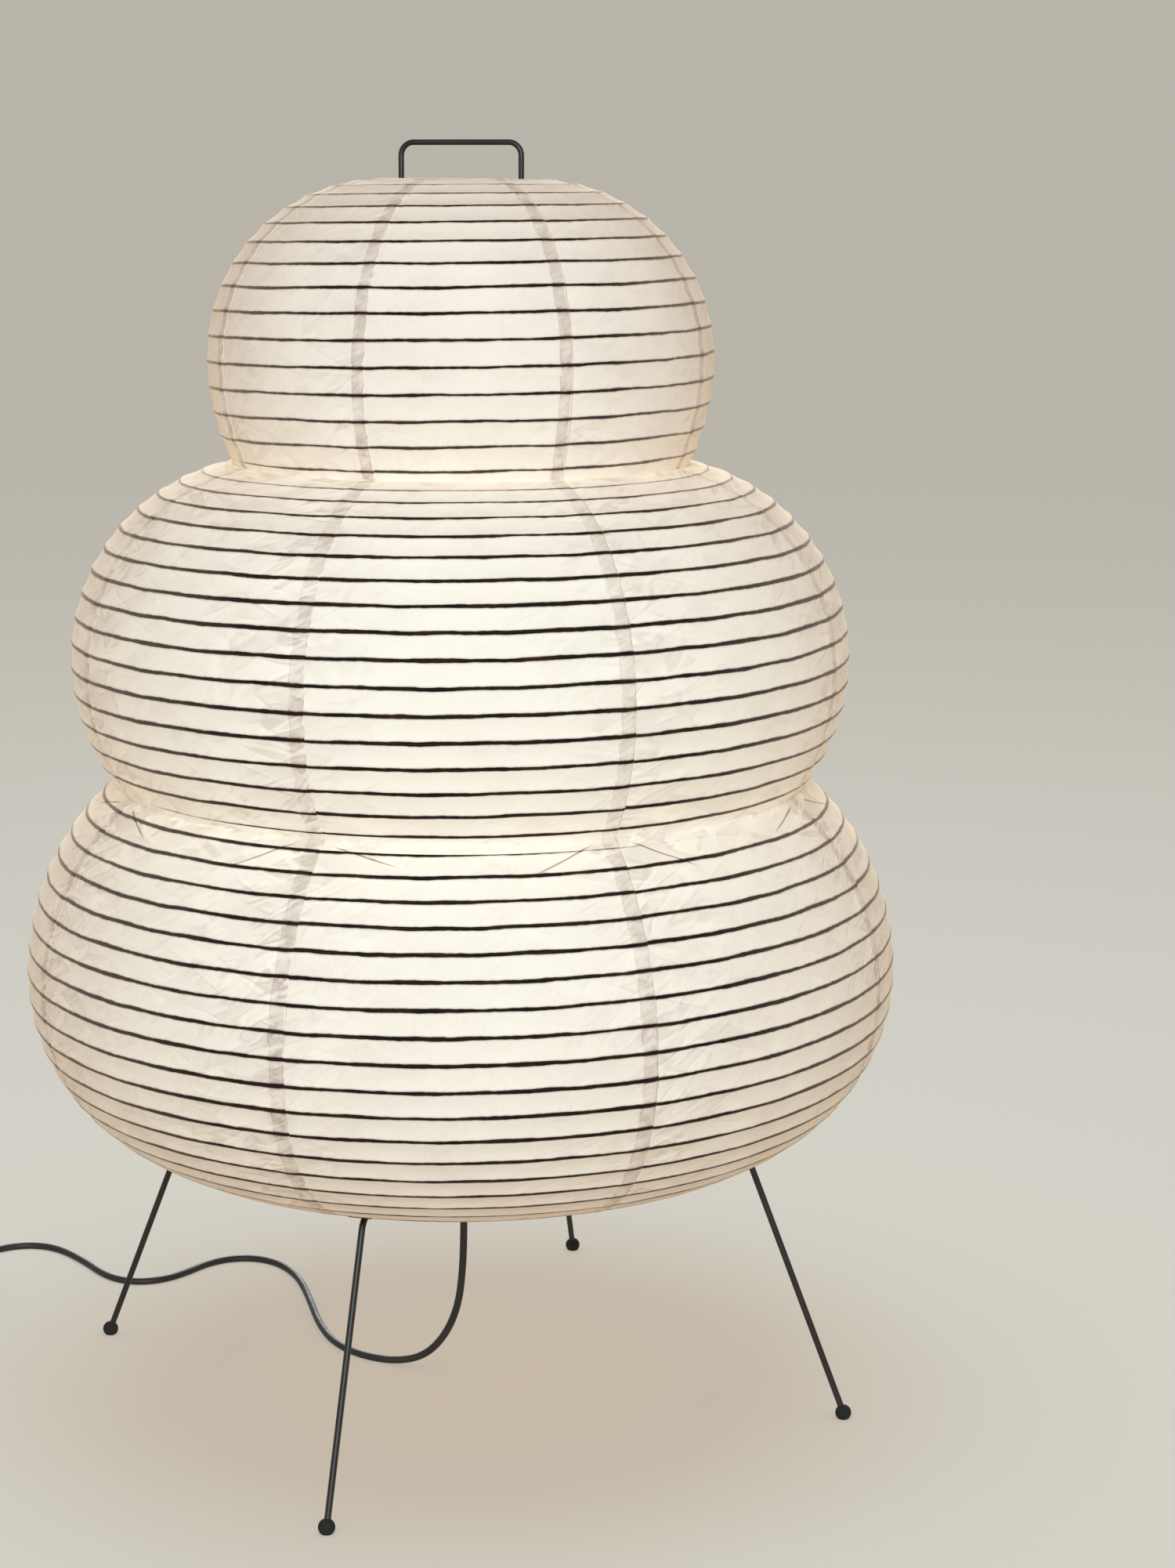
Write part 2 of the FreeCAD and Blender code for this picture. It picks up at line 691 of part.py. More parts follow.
def strain_relief():
    """A tapered bush on the stem's lower end, which the cord comes out of."""
    hole = CORD_D / 2 + CORD_GAP
    bore = STEM_D / 2 + FIT
    sleeve_top = STEM_BOTTOM + RELIEF_SLEEVE_H
    return lathe([(hole, RELIEF_BOTTOM), (RELIEF_TIP_D / 2, RELIEF_BOTTOM),
                  (RELIEF_ROOT_D / 2, STEM_BOTTOM - RELIEF_SLEEVE_H),
                  (RELIEF_SLEEVE_D / 2, STEM_BOTTOM - RELIEF_SLEEVE_H / 2), (RELIEF_SLEEVE_D / 2, sleeve_top),
                  (bore, sleeve_top), (bore, STEM_BOTTOM), (hole, STEM_BOTTOM)])


def cord_inner():
    """The cord inside the stem, up to the terminals."""
    top = BASE_Z - INNER_CORD_SHORT
    return cylinder(CORD_D, top - RELIEF_BOTTOM, Vector(0, 0, RELIEF_BOTTOM))


HEADING = Vector(math.cos(math.radians(SWITCH_HEADING)), math.sin(math.radians(SWITCH_HEADING)), 0)
ASIDE = HEADING.cross(UP)
SWITCH_NEAR = Vector(SWITCH_START[0], SWITCH_START[1], 0)
SWITCH_CENTRE = SWITCH_NEAR + HEADING * (SWITCH_L / 2)
SWITCH_FAR = SWITCH_NEAR + HEADING * SWITCH_L
COIL_ENTRY = SWITCH_FAR + HEADING * LEAD_IN
COIL_CENTRE = COIL_ENTRY + ASIDE * COIL_R
COIL_LOW_Z = CORD_D / 2 + COIL_LIFT
PLUG_NEAR = COIL_ENTRY + HEADING * PLUG_AFTER_COIL


def cord_lead():
    """The cord from the strain relief, down to the floor and along it into the switch."""
    points = [Vector(0, 0, RELIEF_BOTTOM)] + [Vector(*p) for p in CORD_ROUTE]
    entry = SWITCH_NEAR + UP * SWITCH_CORD_Z
    points += [entry - HEADING * (2 * CORD_D), entry + HEADING * SWITCH_CORD_IN]
    edges, radii = bent_path(points, lambda shorter, half: ARC_SHARE * shorter / math.tan(half))
    length = sum(e.Length for e in edges)
    tube = swept(edges, CORD_D)
    print("cord lead radii", [round(r) for r in radii], "length", round(length), "volume share",
          round(tube.Volume / (length * math.pi * CORD_D ** 2 / 4), 4))
    return tube


def coil_station(turn):
    """A point and direction of the coil: in on the lower layer, up a layer, and out on the upper one."""
    first_out = COIL_TURNS_IN + COIL_HALF_TURN
    inmost = COIL_R - COIL_STEP * COIL_TURNS_IN
    back = min(max(turn - COIL_TURNS_IN, 0.0), COIL_HALF_TURN)
    share = back / COIL_HALF_TURN
    if turn < COIL_TURNS_IN:
        r, rate = COIL_R - COIL_STEP * turn, -COIL_STEP
    elif turn < first_out:
        r, rate = inmost - COIL_STEP * back * (1 - share), COIL_STEP * (2 * share - 1)
    else:
        r, rate = inmost + COIL_STEP * (turn - first_out), COIL_STEP
    z = COIL_LOW_Z + COIL_STEP * share ** 2 * (3 - 2 * share)
    climb = COIL_STEP * 6 * share * (1 - share) / COIL_HALF_TURN
    angle = 2 * math.pi * turn
    out = ASIDE * -math.cos(angle) + HEADING * math.sin(angle)
    on = ASIDE * math.sin(angle) + HEADING * math.cos(angle)
    way = on * (2 * math.pi * r) + out * rate + UP * climb
    return COIL_CENTRE + out * r + UP * z, way.normalize()


def cord_coil():
    """The spare cord as one unbroken tube: out of the switch, round the coil and into the plug."""
    turns = 2 * COIL_TURNS_IN + COIL_HALF_TURN
    steps = round(4 * turns)
    start = SWITCH_FAR - HEADING * SWITCH_CORD_IN + UP * SWITCH_CORD_Z
    clear = start + HEADING * (SWITCH_CORD_IN + CORD_D)
    end = PLUG_NEAR + UP * (PLUG_H / 2)
    before = end - HEADING * CORD_D
    stations = [coil_station(turns * k / steps) for k in range(steps + 1)]
    edges = [Part.LineSegment(start, clear).toShape()]
    edges += wound([(clear, HEADING)] + stations + [(before, HEADING)])
    edges.append(Part.LineSegment(before, end).toShape())
    per_turn = 16
    points = [coil_station(k / per_turn)[0] for k in range(int(turns * per_turn) + 1)]
    print("cord coil length", round(sum(e.Length for e in edges)), "least gap",
          round(least_gap(points, per_turn, CORD_D), 2))
    return swept(edges, CORD_D)


def cord_tie():
    """A flat strap round the coil's turns."""
    inner_r = COIL_R - COIL_STEP * COIL_TURNS_IN - COIL_STEP / 4 - CORD_D / 2 - TIE_GAP
    outer_r = COIL_R - COIL_STEP * TIE_TURN + CORD_D / 2 + TIE_GAP
    low = COIL_LOW_Z - CORD_D / 2 - TIE_GAP
    high = COIL_LOW_Z + COIL_STEP + CORD_D / 2 + TIE_GAP
    hole = Part.makeBox(outer_r - inner_r, TIE_W, high - low, Vector(inner_r, -TIE_W / 2, low))
    band = Part.makeBox(outer_r - inner_r + 2 * TIE_T, TIE_W, high - low + 2 * TIE_T,
                        Vector(inner_r - TIE_T, -TIE_W / 2, low - TIE_T))
    tie = band.cut(hole)
    angle = 2 * math.pi * TIE_TURN
    out = ASIDE * -math.cos(angle) + HEADING * math.sin(angle)
    tie.rotate(Vector(), UP, math.degrees(math.atan2(out.y, out.x)))
    tie.translate(COIL_CENTRE)
    return tie


def at_switch(shape):
    """Place a piece drawn round the switch's centre, with its length on X."""
    placed = shape.copy()
    placed.rotate(Vector(), UP, SWITCH_HEADING)
    placed.translate(SWITCH_CENTRE)
    return placed


ROCKER_Z = SWITCH_BASE_H + SWITCH_COVER_H - ROCKER_R + ROCKER_UP
SCREW_PLACES = [(SWITCH_SCREW_X, SWITCH_SCREW_Y), (-SWITCH_SCREW_X, -SWITCH_SCREW_Y)]


def switch_screw(x, y, grown=0.0):
    return cylinder(SWITCH_SCREW_D + 2 * grown, SWITCH_SCREW_L, Vector(x, y, SWITCH_SCREW_SUNK))


def switch_base():
    """The lower half of the switch's case, with its cell and two cord holes."""
    case = rounded_box(SWITCH_L, SWITCH_W, SWITCH_BASE_H, SWITCH_ROUND, 0.0)
    cell = Part.makeBox(SWITCH_CELL_L, SWITCH_CELL_W, SWITCH_BASE_H,
                        Vector(-SWITCH_CELL_L / 2, -SWITCH_CELL_W / 2, SWITCH_FLOOR))
    hole = cylinder(CORD_D + 2 * CORD_GAP, SWITCH_L, Vector(-SWITCH_L / 2, 0, SWITCH_CORD_Z), Vector(1, 0, 0))
    case = case.cut(cell).cut(hole)
    for x, y in SCREW_PLACES:
        case = case.cut(cylinder(SWITCH_SCREW_D + 2 * FIT, SWITCH_BASE_H, Vector(x, y, 0)))
    return case


def switch_cover():
    """The upper half of the case, with the rocker's slot and its two pivot holes."""
    case = rounded_box(SWITCH_L, SWITCH_W, SWITCH_COVER_H, SWITCH_ROUND, SWITCH_BASE_H)
    slot_l = 2 * (ROCKER_R + ROCKER_GAP)
    slot_w = ROCKER_W + 2 * ROCKER_GAP
    case = case.cut(Part.makeBox(slot_l, slot_w, SWITCH_COVER_H,
                                 Vector(-slot_l / 2, -slot_w / 2, SWITCH_BASE_H)))
    reach = ROCKER_W + 2 * TRUNNION_L + 2 * ROCKER_GAP
    case = case.cut(cylinder(TRUNNION_D + 2 * FIT, reach, Vector(0, -reach / 2, ROCKER_Z), Vector(0, 1, 0)))
    for x, y in SCREW_PLACES:
        case = case.cut(switch_screw(x, y, FIT))
    return case


def switch_rocker():
    """The rocker: a round-backed bar on two trunnions, tipped to its on position."""
    bar = cylinder(2 * ROCKER_R, ROCKER_W, Vector(0, -ROCKER_W / 2, ROCKER_Z), Vector(0, 1, 0))
    bar = bar.common(Part.makeBox(2 * ROCKER_R, ROCKER_W, 2 * ROCKER_R,
                                  Vector(-ROCKER_R, -ROCKER_W / 2, ROCKER_Z - ROCKER_HEEL)))
    for side in (-1, 1):
        flat = Part.makeBox(4 * ROCKER_R, ROCKER_W, 2 * ROCKER_R,
                            Vector(-2 * ROCKER_R, -ROCKER_W / 2, ROCKER_Z + 0.8 * ROCKER_R))
        flat.rotate(Vector(0, 0, ROCKER_Z + 0.8 * ROCKER_R), Vector(0, 1, 0), side * ROCKER_TILT)
        keep = Part.makeBox(2 * ROCKER_R, ROCKER_W, 4 * ROCKER_R,
                            Vector(0 if side < 0 else -2 * ROCKER_R, -ROCKER_W / 2, ROCKER_Z))
        bar = bar.cut(flat.common(keep))
    reach = ROCKER_W + 2 * TRUNNION_L
    bar = bar.fuse(cylinder(TRUNNION_D, reach, Vector(0, -reach / 2, ROCKER_Z), Vector(0, 1, 0)))
    bar.rotate(Vector(0, 0, ROCKER_Z), Vector(0, 1, 0), ROCKER_TILT)
    return bar.removeSplitter()


def contact_strip(side):
    """A brass strip on the floor of the switch's cell."""
    return Part.makeBox(STRIP_L, STRIP_W, STRIP_T,
                        Vector(-STRIP_L / 2, side * STRIP_Y - STRIP_W / 2, SWITCH_FLOOR))


def at_plug(shape):
    """Place a piece drawn from the cord's end, with its length on X and its axis at z = 0."""
    placed = shape.copy()
    placed.rotate(Vector(), UP, SWITCH_HEADING)
    placed.translate(PLUG_NEAR + UP * (PLUG_H / 2))
    return placed


def pin_root(y, grown=0.0):
    """The thicker end of a pin, moulded into the plug."""
    start = Vector(PLUG_NECK_L + PLUG_L - PIN_IN, y, 0)
    return cylinder(PIN_ROOT_D + 2 * grown, PIN_IN, start, Vector(1, 0, 0))


def pin(y):
    """A round pin: its root in the plug and its bare length in front of it."""
    bare = cylinder(PIN_D, PIN_L, Vector(PLUG_NECK_L + PLUG_L, y, 0), Vector(1, 0, 0))
    return pin_root(y).fuse(bare)


def plug_body():
    """The moulded plug: a tapered neck and a flat grip, bored for its two pins."""
    neck = Part.makeCone(PLUG_NECK_D / 2, PLUG_ROOT_D / 2, PLUG_NECK_L, Vector(), Vector(1, 0, 0))
    grip = Part.makeBox(PLUG_L, PLUG_W, PLUG_H, Vector(PLUG_NECK_L, -PLUG_W / 2, -PLUG_H / 2))
    grip = grip.makeFillet(PLUG_ROUND, [e for e in grip.Edges if e.BoundBox.XLength > PLUG_L - 1e-6])
    body = neck.fuse(grip)
    for y in (-PIN_APART / 2, PIN_APART / 2):
        body = body.cut(pin_root(y, FIT))
    return body


os.makedirs("parts", exist_ok=True)

panel = paper_panel()
for number in range(PANELS):
    save("paper_panel_" + str(number + 1), at_azimuth(panel, FIRST_SEAM + number * 360.0 / PANELS))
for belly_name in BELLIES:
    save("rib_" + belly_name, rib(belly_name))
save("bottom_hoop", hoop(BOTTOM_HOOP))
save("top_hoop", hoop(TOP_HOOP))

for side_name, leg_azimuth in LEG_AZIMUTHS.items():
    save("leg_" + side_name, at_azimuth(leg(), leg_azimuth))
    save("foot_" + side_name, at_azimuth(foot(), leg_azimuth))
save("hub", hub())
save("hub_set_screws", group([at_azimuth(set_screw(), a) for a in LEG_AZIMUTHS.values()]))
save("hoop_saddles", group([at_azimuth(saddle(), a) for a in LEG_AZIMUTHS.values()]))
save("crossbar", crossbar())
save("stem", stem())
STEM_NUT_BORE = STEM_D + 2 * FIT
save("stem_nuts", group([nut(STEM_NUT_ACROSS, STEM_NUT_H, STEM_NUT_BORE, Vector(0, 0, z))
                         for z in (HUB_BOTTOM - STEM_NUT_H, CROSSBAR_TOP)]))
save("stretcher", stretcher())
STRETCHER_NUT_BORE = STRETCHER_D + 2 * FIT
save("stretcher_nuts", group([nut(STRETCHER_NUT_ACROSS, STRETCHER_NUT_H, STRETCHER_NUT_BORE,
                                  Vector(x, 0, CROSSBAR_TOP)) for x in (-UPRIGHT_X, UPRIGHT_X)]))
save("top_hoop_collars", group([collar(x) for x in (-UPRIGHT_X, UPRIGHT_X)]))

save("holder_cap", holder_cap())
save("holder_body", holder_body())
save("holder_base", holder_base())
save("holder_liner", holder_liner())
save("holder_contact", cylinder(CONTACT_D, CONTACT_T, Vector(0, 0, LINER_Z)))
save("terminal_screws", group([terminal(x) for x in (-TERMINAL_R, TERMINAL_R)]))

save("bulb_glass", bulb_glass())
save("bulb_cap", bulb_cap())
save("bulb_insulator", bulb_insulator())
save("bulb_tip", cylinder(TIP_D, TIP_H, Vector(0, 0, TIP_Z)))
save("bulb_mount", bulb_mount())
save("bulb_filament", bulb_filament())

save("strain_relief", strain_relief())
save("cord_inner", cord_inner())
save("cord_lead", cord_lead())
save("cord_coil", cord_coil())
save("cord_tie", cord_tie())
save("switch_base", at_switch(switch_base()))
save("switch_cover", at_switch(switch_cover()))
save("switch_rocker", at_switch(switch_rocker()))
save("switch_screws", at_switch(group([switch_screw(x, y) for x, y in SCREW_PLACES])))
save("switch_contacts", at_switch(group([contact_strip(side) for side in (-1, 1)])))
save("plug_body", at_plug(plug_body()))
save("plug_pins", at_plug(group([pin(y) for y in (-PIN_APART / 2, PIN_APART / 2)])))

print("total height", round(HANDLE_Z + STRETCHER_D / 2, 1), "arm", ARM_Z, "hoops",
      [round(v, 2) for v in BOTTOM_HOOP + TOP_HOOP], "bulb", round(TIP_Z, 1), round(GLOBE_Z, 1))
print("switch centre", SWITCH_CENTRE, "rocker", round(ROCKER_Z, 2), "plug", PLUG_NEAR, "coil", COIL_CENTRE)
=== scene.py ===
# %% [markdown]
# # A paper lantern lamp
# The lamp is a stand of bent wire with a bulb on it, and a paper shade in three swelling tiers. The packed
# model gives every rigid piece at its real size and place. This lesson adds what paper, bamboo and a
# flexible cord need, gives each surface its finish, and sets up the picture.

# %% Load the frame
import json
import math
from functools import partial

import bpy
import numpy as np
from mathutils import Euler, Matrix, Vector


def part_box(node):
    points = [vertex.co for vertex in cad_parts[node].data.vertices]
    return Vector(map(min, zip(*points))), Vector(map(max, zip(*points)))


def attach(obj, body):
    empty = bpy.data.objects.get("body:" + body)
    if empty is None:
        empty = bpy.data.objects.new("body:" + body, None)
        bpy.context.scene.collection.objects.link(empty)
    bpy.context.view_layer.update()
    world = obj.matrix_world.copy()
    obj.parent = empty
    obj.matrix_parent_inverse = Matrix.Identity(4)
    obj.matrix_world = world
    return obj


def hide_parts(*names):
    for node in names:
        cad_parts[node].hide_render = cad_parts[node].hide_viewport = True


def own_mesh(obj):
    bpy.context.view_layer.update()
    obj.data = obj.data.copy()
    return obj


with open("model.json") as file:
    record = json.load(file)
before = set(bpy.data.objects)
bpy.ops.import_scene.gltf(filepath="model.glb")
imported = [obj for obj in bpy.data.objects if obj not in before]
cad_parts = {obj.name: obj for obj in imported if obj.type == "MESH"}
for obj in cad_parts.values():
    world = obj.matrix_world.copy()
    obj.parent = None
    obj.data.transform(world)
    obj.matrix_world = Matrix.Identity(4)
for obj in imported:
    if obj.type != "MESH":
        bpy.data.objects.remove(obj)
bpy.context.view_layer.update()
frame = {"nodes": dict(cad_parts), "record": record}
nodes = frame["nodes"]
mm = 0.001

# %% [markdown]
# ## Camera
# The picture is taken from in front and a little above, by someone standing two metres away. A camera can
# be aimed with a Track To constraint, but here its place and its three turns are known, so they are written
# straight into its matrix. The picture is upright, so the sensor's 36 mm lie along its height.

# %% Camera
CAMERA_PLACE = Vector((0.6734, -2.0246, 0.8554))
CAMERA_YAW = math.radians(16.0)
CAMERA_PITCH = math.radians(-10.85)
CAMERA_ROLL = math.radians(0.29)
PICTURE_HEIGHT_PX = 2001
FOCAL_LENGTH_PX = 3874

camera = bpy.data.objects.new("camera", bpy.data.cameras.new("camera"))
bpy.context.collection.objects.link(camera)
camera.data.sensor_width = 36
camera.data.lens = camera.data.sensor_width * FOCAL_LENGTH_PX / PICTURE_HEIGHT_PX
aim = Euler((math.pi / 2 + CAMERA_PITCH, 0, CAMERA_YAW)).to_matrix().to_4x4()
camera.matrix_world = Matrix.Translation(CAMERA_PLACE) @ aim @ Matrix.Rotation(CAMERA_ROLL, 4, "Z")
bpy.context.scene.camera = camera
bpy.context.scene.view_settings.view_transform = "Standard"
print("lens of", round(camera.data.lens, 2), "mm")

# %% [markdown]
# ## Mains cord
# A PVC-sheathed lead comes out of the strain relief, drops to the floor and wanders off to its switch. What
# is left of its 1.8 m is wound into a coil, as for storage, and ends in the plug. A curve with a round
# bevel gives a tube of even thickness, and a NURBS spline of order 3 passes smoothly by its control points.
# The bevel is one metre and each point's radius scales it to the cord's own, because a curve's box is
# reckoned from those radii. The coil spirals in on the floor, climbs a layer in half a turn, and spirals
# out again.

# %% Route of the cord
CORD_D = 5.5 * mm
CORD_EXIT = (0.0, 0.0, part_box("strain_relief")[0].z)
CORD_ROUTE = np.array([
    (0, 0, 113), (-1, 0, 82), (-5, 1, 52), (-16, 2, 27), (-33, 3, 9), (-56, 3, 2.8), (-84, 7, 2.8),
    (-112, 24, 2.8), (-138, 59, 2.8), (-162, 103, 2.8), (-186, 144, 2.8), (-207, 168, 2.8),
    (-226, 180, 2.8), (-245, 182, 2.8), (-262, 174, 2.8), (-274, 158, 2.8), (-281, 136, 2.8),
    (-291, 116, 2.8), (-307, 104, 2.8), (-326, 103, 2.8), (-345, 112, 2.8), (-371, 134, 2.8),
    (-397, 152, 2.8), (-416, 159, 2.8), (-434, 157, 2.8), (-449, 146, 2.8), (-458, 130, 2.8),
    (-460, 112, 3.4),
]) * mm
SWITCH_START = np.array([-449, 84, 0]) * mm
SWITCH_HEADING = math.radians(-63.4)
SWITCH_L = 62 * mm
HEADING = np.array([math.cos(SWITCH_HEADING), math.sin(SWITCH_HEADING), 0])
ASIDE = np.array([HEADING[1], -HEADING[0], 0])
UP = np.array([0.0, 0.0, 1.0])
# How far along the switch each point lies, and how high
SWITCH_RUN = np.array([(-11, 6.5), (6, 6.5), (20, 5.6), (42, 5.6), (56, 6.5), (68, 6.5), (84, 5.2)]) * mm
through_switch = SWITCH_START + SWITCH_RUN[:, :1] * HEADING + SWITCH_RUN[:, 1:] * UP
print(len(CORD_ROUTE) + len(through_switch), "points to the coil")

# %% Coil of spare cord
LEAD_IN = 44 * mm
COIL_R = 36 * mm
COIL_STEP = 6.15 * mm
COIL_LOW_Z = 4.1 * mm
TURNS_IN = 2.25
HALF_TURN = 0.5
POINTS_PER_TURN = 24
COIL_ENTRY = SWITCH_START + (SWITCH_L + LEAD_IN) * HEADING
# How far past the coil's entry each point lies on the way to the plug, and how high
PLUG_RUN = np.array([(18, 10.1), (34, 8.6), (46, 7.2), (52, 7), (58, 7)]) * mm


def coil_points():
    """Centreline of the coil: the radius falls by one step a turn on the floor, dips a little in the half
    turn where the cord climbs by a smoothstep of one step, and grows by one step a turn above."""
    turns = 2 * TURNS_IN + HALF_TURN
    turn = np.linspace(0, turns, round(turns * POINTS_PER_TURN) + 1)
    back = np.clip(turn - TURNS_IN, 0, HALF_TURN)
    share = back / HALF_TURN
    inward = np.minimum(turn, TURNS_IN) + back * (1 - share) - np.maximum(turn - TURNS_IN - HALF_TURN, 0)
    radius = (COIL_R - COIL_STEP * inward)[:, None]
    height = COIL_LOW_Z + COIL_STEP * share ** 2 * (3 - 2 * share)
    angle = 2 * math.pi * turn[:, None]
    out = HEADING * np.sin(angle) - ASIDE * np.cos(angle)
    return COIL_ENTRY + ASIDE * COIL_R + out * radius + height[:, None] * UP


to_plug = COIL_ENTRY + PLUG_RUN[:, :1] * HEADING + PLUG_RUN[:, 1:] * UP
cord_points = np.vstack([CORD_EXIT, CORD_ROUTE, through_switch, coil_points(), to_plug])
curve = bpy.data.curves.new("mains_cord", "CURVE")
curve.dimensions = "3D"
curve.bevel_depth = 1.0
curve.bevel_resolution = 4
curve.resolution_u = 6
curve.use_fill_caps = True
spline = curve.splines.new("NURBS")
spline.points.add(len(cord_points) - 1)
spline.points.foreach_set("co", np.column_stack([cord_points, np.ones(len(cord_points))]).ravel())
spline.points.foreach_set("radius", np.full(len(cord_points), CORD_D / 2))
spline.order_u = 3
spline.use_endpoint_u = True
mains_cord = bpy.data.objects.new("mains_cord", curve)
bpy.context.collection.objects.link(mains_cord)
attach(mains_cord, "stand")
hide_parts("cord_lead", "cord_coil")
print("cord with", len(cord_points), "control points")

# %% [markdown]
# ## Shape of the shade
# The shade's outline is six arcs: each tier has a lower and an upper one, both upright at the belly, where
# they meet. A strip of split bamboo winds up inside each tier at a steady pitch. Heights up a tier are
# counted in turns of that strip, because everything on the paper follows it: the ridge over each turn, the
# sag between turns and the dark line that the strip throws on lit paper.

# %% Outline of the shade
SHADE_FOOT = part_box("paper_panel_1")[0].z
RISES = np.array([124, 136, 87, 135.5, 72, 122]) * mm
END_R = np.array([219, 244, 159, 48]) * mm
BELLY_R = np.array([309.5, 273.5, 176]) * mm
RIB_D = 2.2 * mm
RIB_PITCH = 17.2 * mm
RIB_INSET = 1.8 * mm
RIB_END = 7 * mm
RIB_STARTS = np.radians([108.0, 258.5, 226.5])
LEVELS = SHADE_FOOT + np.concatenate([[0], np.cumsum(RISES)])


def half_belly(belly_r, belly_z, end_r, end_z):
    """Centre radius, centre height and radius of an arc that is upright at the belly and passes through an
    end. With depth d and rise h its radius is (d^2 + h^2) / 2d."""
    depth = belly_r - end_r
    radius = (depth ** 2 + (end_z - belly_z) ** 2) / (2 * depth)
    return np.array([belly_r - radius, belly_z, radius])


def crossing(below, above, inset):
    """Where two arcs cross at a waist when both are shrunk by an inset: the outer one of two crossings."""
    gap = above[:2] - below[:2]
    apart = np.hypot(*gap)
    low, high = below[2] - inset, above[2] - inset
    along = (apart ** 2 + low ** 2 - high ** 2) / (2 * apart)
    aside = math.sqrt(low ** 2 - along ** 2)
    return below[:2] + (along * gap + aside * np.array([gap[1], -gap[0]])) / apart


def angle_on(arc, point):
    return math.atan2(point[1] - arc[1], point[0] - arc[0])


ARCS = []
for tier in range(3):
    for end in (tier, tier + 1):
        ARCS.append(half_belly(BELLY_R[tier], LEVELS[2 * tier + 1], END_R[end], LEVELS[2 * end]))
EDGES = np.column_stack([END_R, LEVELS[::2]])
inset_waists = [crossing(ARCS[1], ARCS[2], RIB_INSET), crossing(ARCS[3], ARCS[4], RIB_INSET)]

TIERS = []
for tier in range(3):
    lower, upper = ARCS[2 * tier], ARCS[2 * tier + 1]
    first, last = angle_on(lower, EDGES[tier]), angle_on(upper, EDGES[tier + 1])
    rib_first = angle_on(lower, inset_waists[tier - 1]) if tier > 0 else first
    rib_last = angle_on(upper, inset_waists[tier]) if tier < 2 else last
    below, above = -rib_first * (lower[2] - RIB_INSET), rib_last * (upper[2] - RIB_INSET)
    turns = int(4 * (below + above - 2 * RIB_END) / RIB_PITCH) / 4
    foot = (below + first * (lower[2] - RIB_INSET) - RIB_END) / RIB_PITCH
    head = (below + last * (upper[2] - RIB_INSET) - RIB_END) / RIB_PITCH
    TIERS.append({"number": tier, "lower": lower, "upper": upper, "below": below, "turns": turns,
                  "foot": foot, "head": head, "start": RIB_STARTS[tier]})
    print("tier", tier + 1, "has", turns, "turns of bamboo")


def on_skin(tier, turn):
    """Radius, height and slope angle of the paper's outer face, at a number of turns up a tier. The length
    from the belly is end gap + pitch x turn - lower length, and divided by the strip's arc radius it is the
    angle on that arc."""
    length = RIB_END + RIB_PITCH * turn - tier["below"]
    arc = np.where((length > 0)[..., None], tier["upper"], tier["lower"])
    angle = length / (arc[..., 2] - RIB_INSET)
    return arc[..., 0] + arc[..., 2] * np.cos(angle), arc[..., 1] + arc[..., 2] * np.sin(angle), angle


def directions(azimuth, slope):
    """Unit vectors level and away from the axis, and square to the paper."""
    away = np.stack([np.cos(azimuth), np.sin(azimuth), 0 * azimuth], -1)
    return away, np.cos(slope)[..., None] * away + np.sin(slope)[..., None] * UP


# %% [markdown]
# ## Paper gores
# The skin is eight gores of thin white paper, each pasted over the edge of the next. A gore is a grid: rows
# follow the bamboo, and columns run up the gore, closer together beside the seams. The paper stands up in a
# small ridge over each turn, sinks in between, and puckers where it was pasted. A gore has an outer and an
# inner face and a narrow wall between them, so it is a closed sheet and not a single skin. It thins out
# towards its side edges, which are torn and not cut, so that they lie flat in the paste.

# %% Rows and columns of a gore
GORES = 8
FIRST_SEAM = math.radians(-94.1)
GORE_TURN = 2 * math.pi / GORES
OVERLAP = 11 * mm
PAPER = 0.3 * mm
FEATHER = 4 * mm
THIN_EDGE = 0.1
ROW_STEPS = np.array([-0.5, -0.34, -0.2, -0.1, -0.04, 0.04, 0.1, 0.2, 0.34])
SEAM_COLUMNS = np.array([0, 1.2, 2.6, 5.5, 8.4, 9.8, 11, 12.5, 15]) * mm
COLUMNS_BETWEEN = 26


def smooth(x):
    """A smoothstep: 0 below 0, 1 above 1, and 3x^2 - 2x^3 between."""
    x = np.clip(x, 0, 1)
    return x * x * (3 - 2 * x)


def row_turns(tier, gore_centre):
    """The rows of a tier, in turns: its two ends, and between them a few rows about each turn of bamboo."""
    phase = (gore_centre - tier["start"]) / (2 * math.pi)
    whole = np.arange(math.floor(tier["foot"] - phase), math.ceil(tier["head"] - phase) + 2)
    rows = (whole[:, None] + ROW_STEPS + phase).ravel()
    spare = 0.05
    inside = rows[(rows > tier["foot"] + spare) & (rows < tier["head"] - spare)]
    return np.concatenate([[tier["foot"]], inside, [tier["head"]]])


def column_places():
    """For each column, its share of the gore's middle and its distance from the gore's left edge."""
    edge = SEAM_COLUMNS[-1]
    between = np.linspace(0, 1, COLUMNS_BETWEEN)[1:-1]
    share = np.concatenate([0 * SEAM_COLUMNS, between, 0 * SEAM_COLUMNS + 1])
    shift = np.concatenate([SEAM_COLUMNS, 0 * between + edge, 2 * edge - SEAM_COLUMNS[::-1]])
    return share, shift


print("a gore has", len(column_places()[0]), "columns")

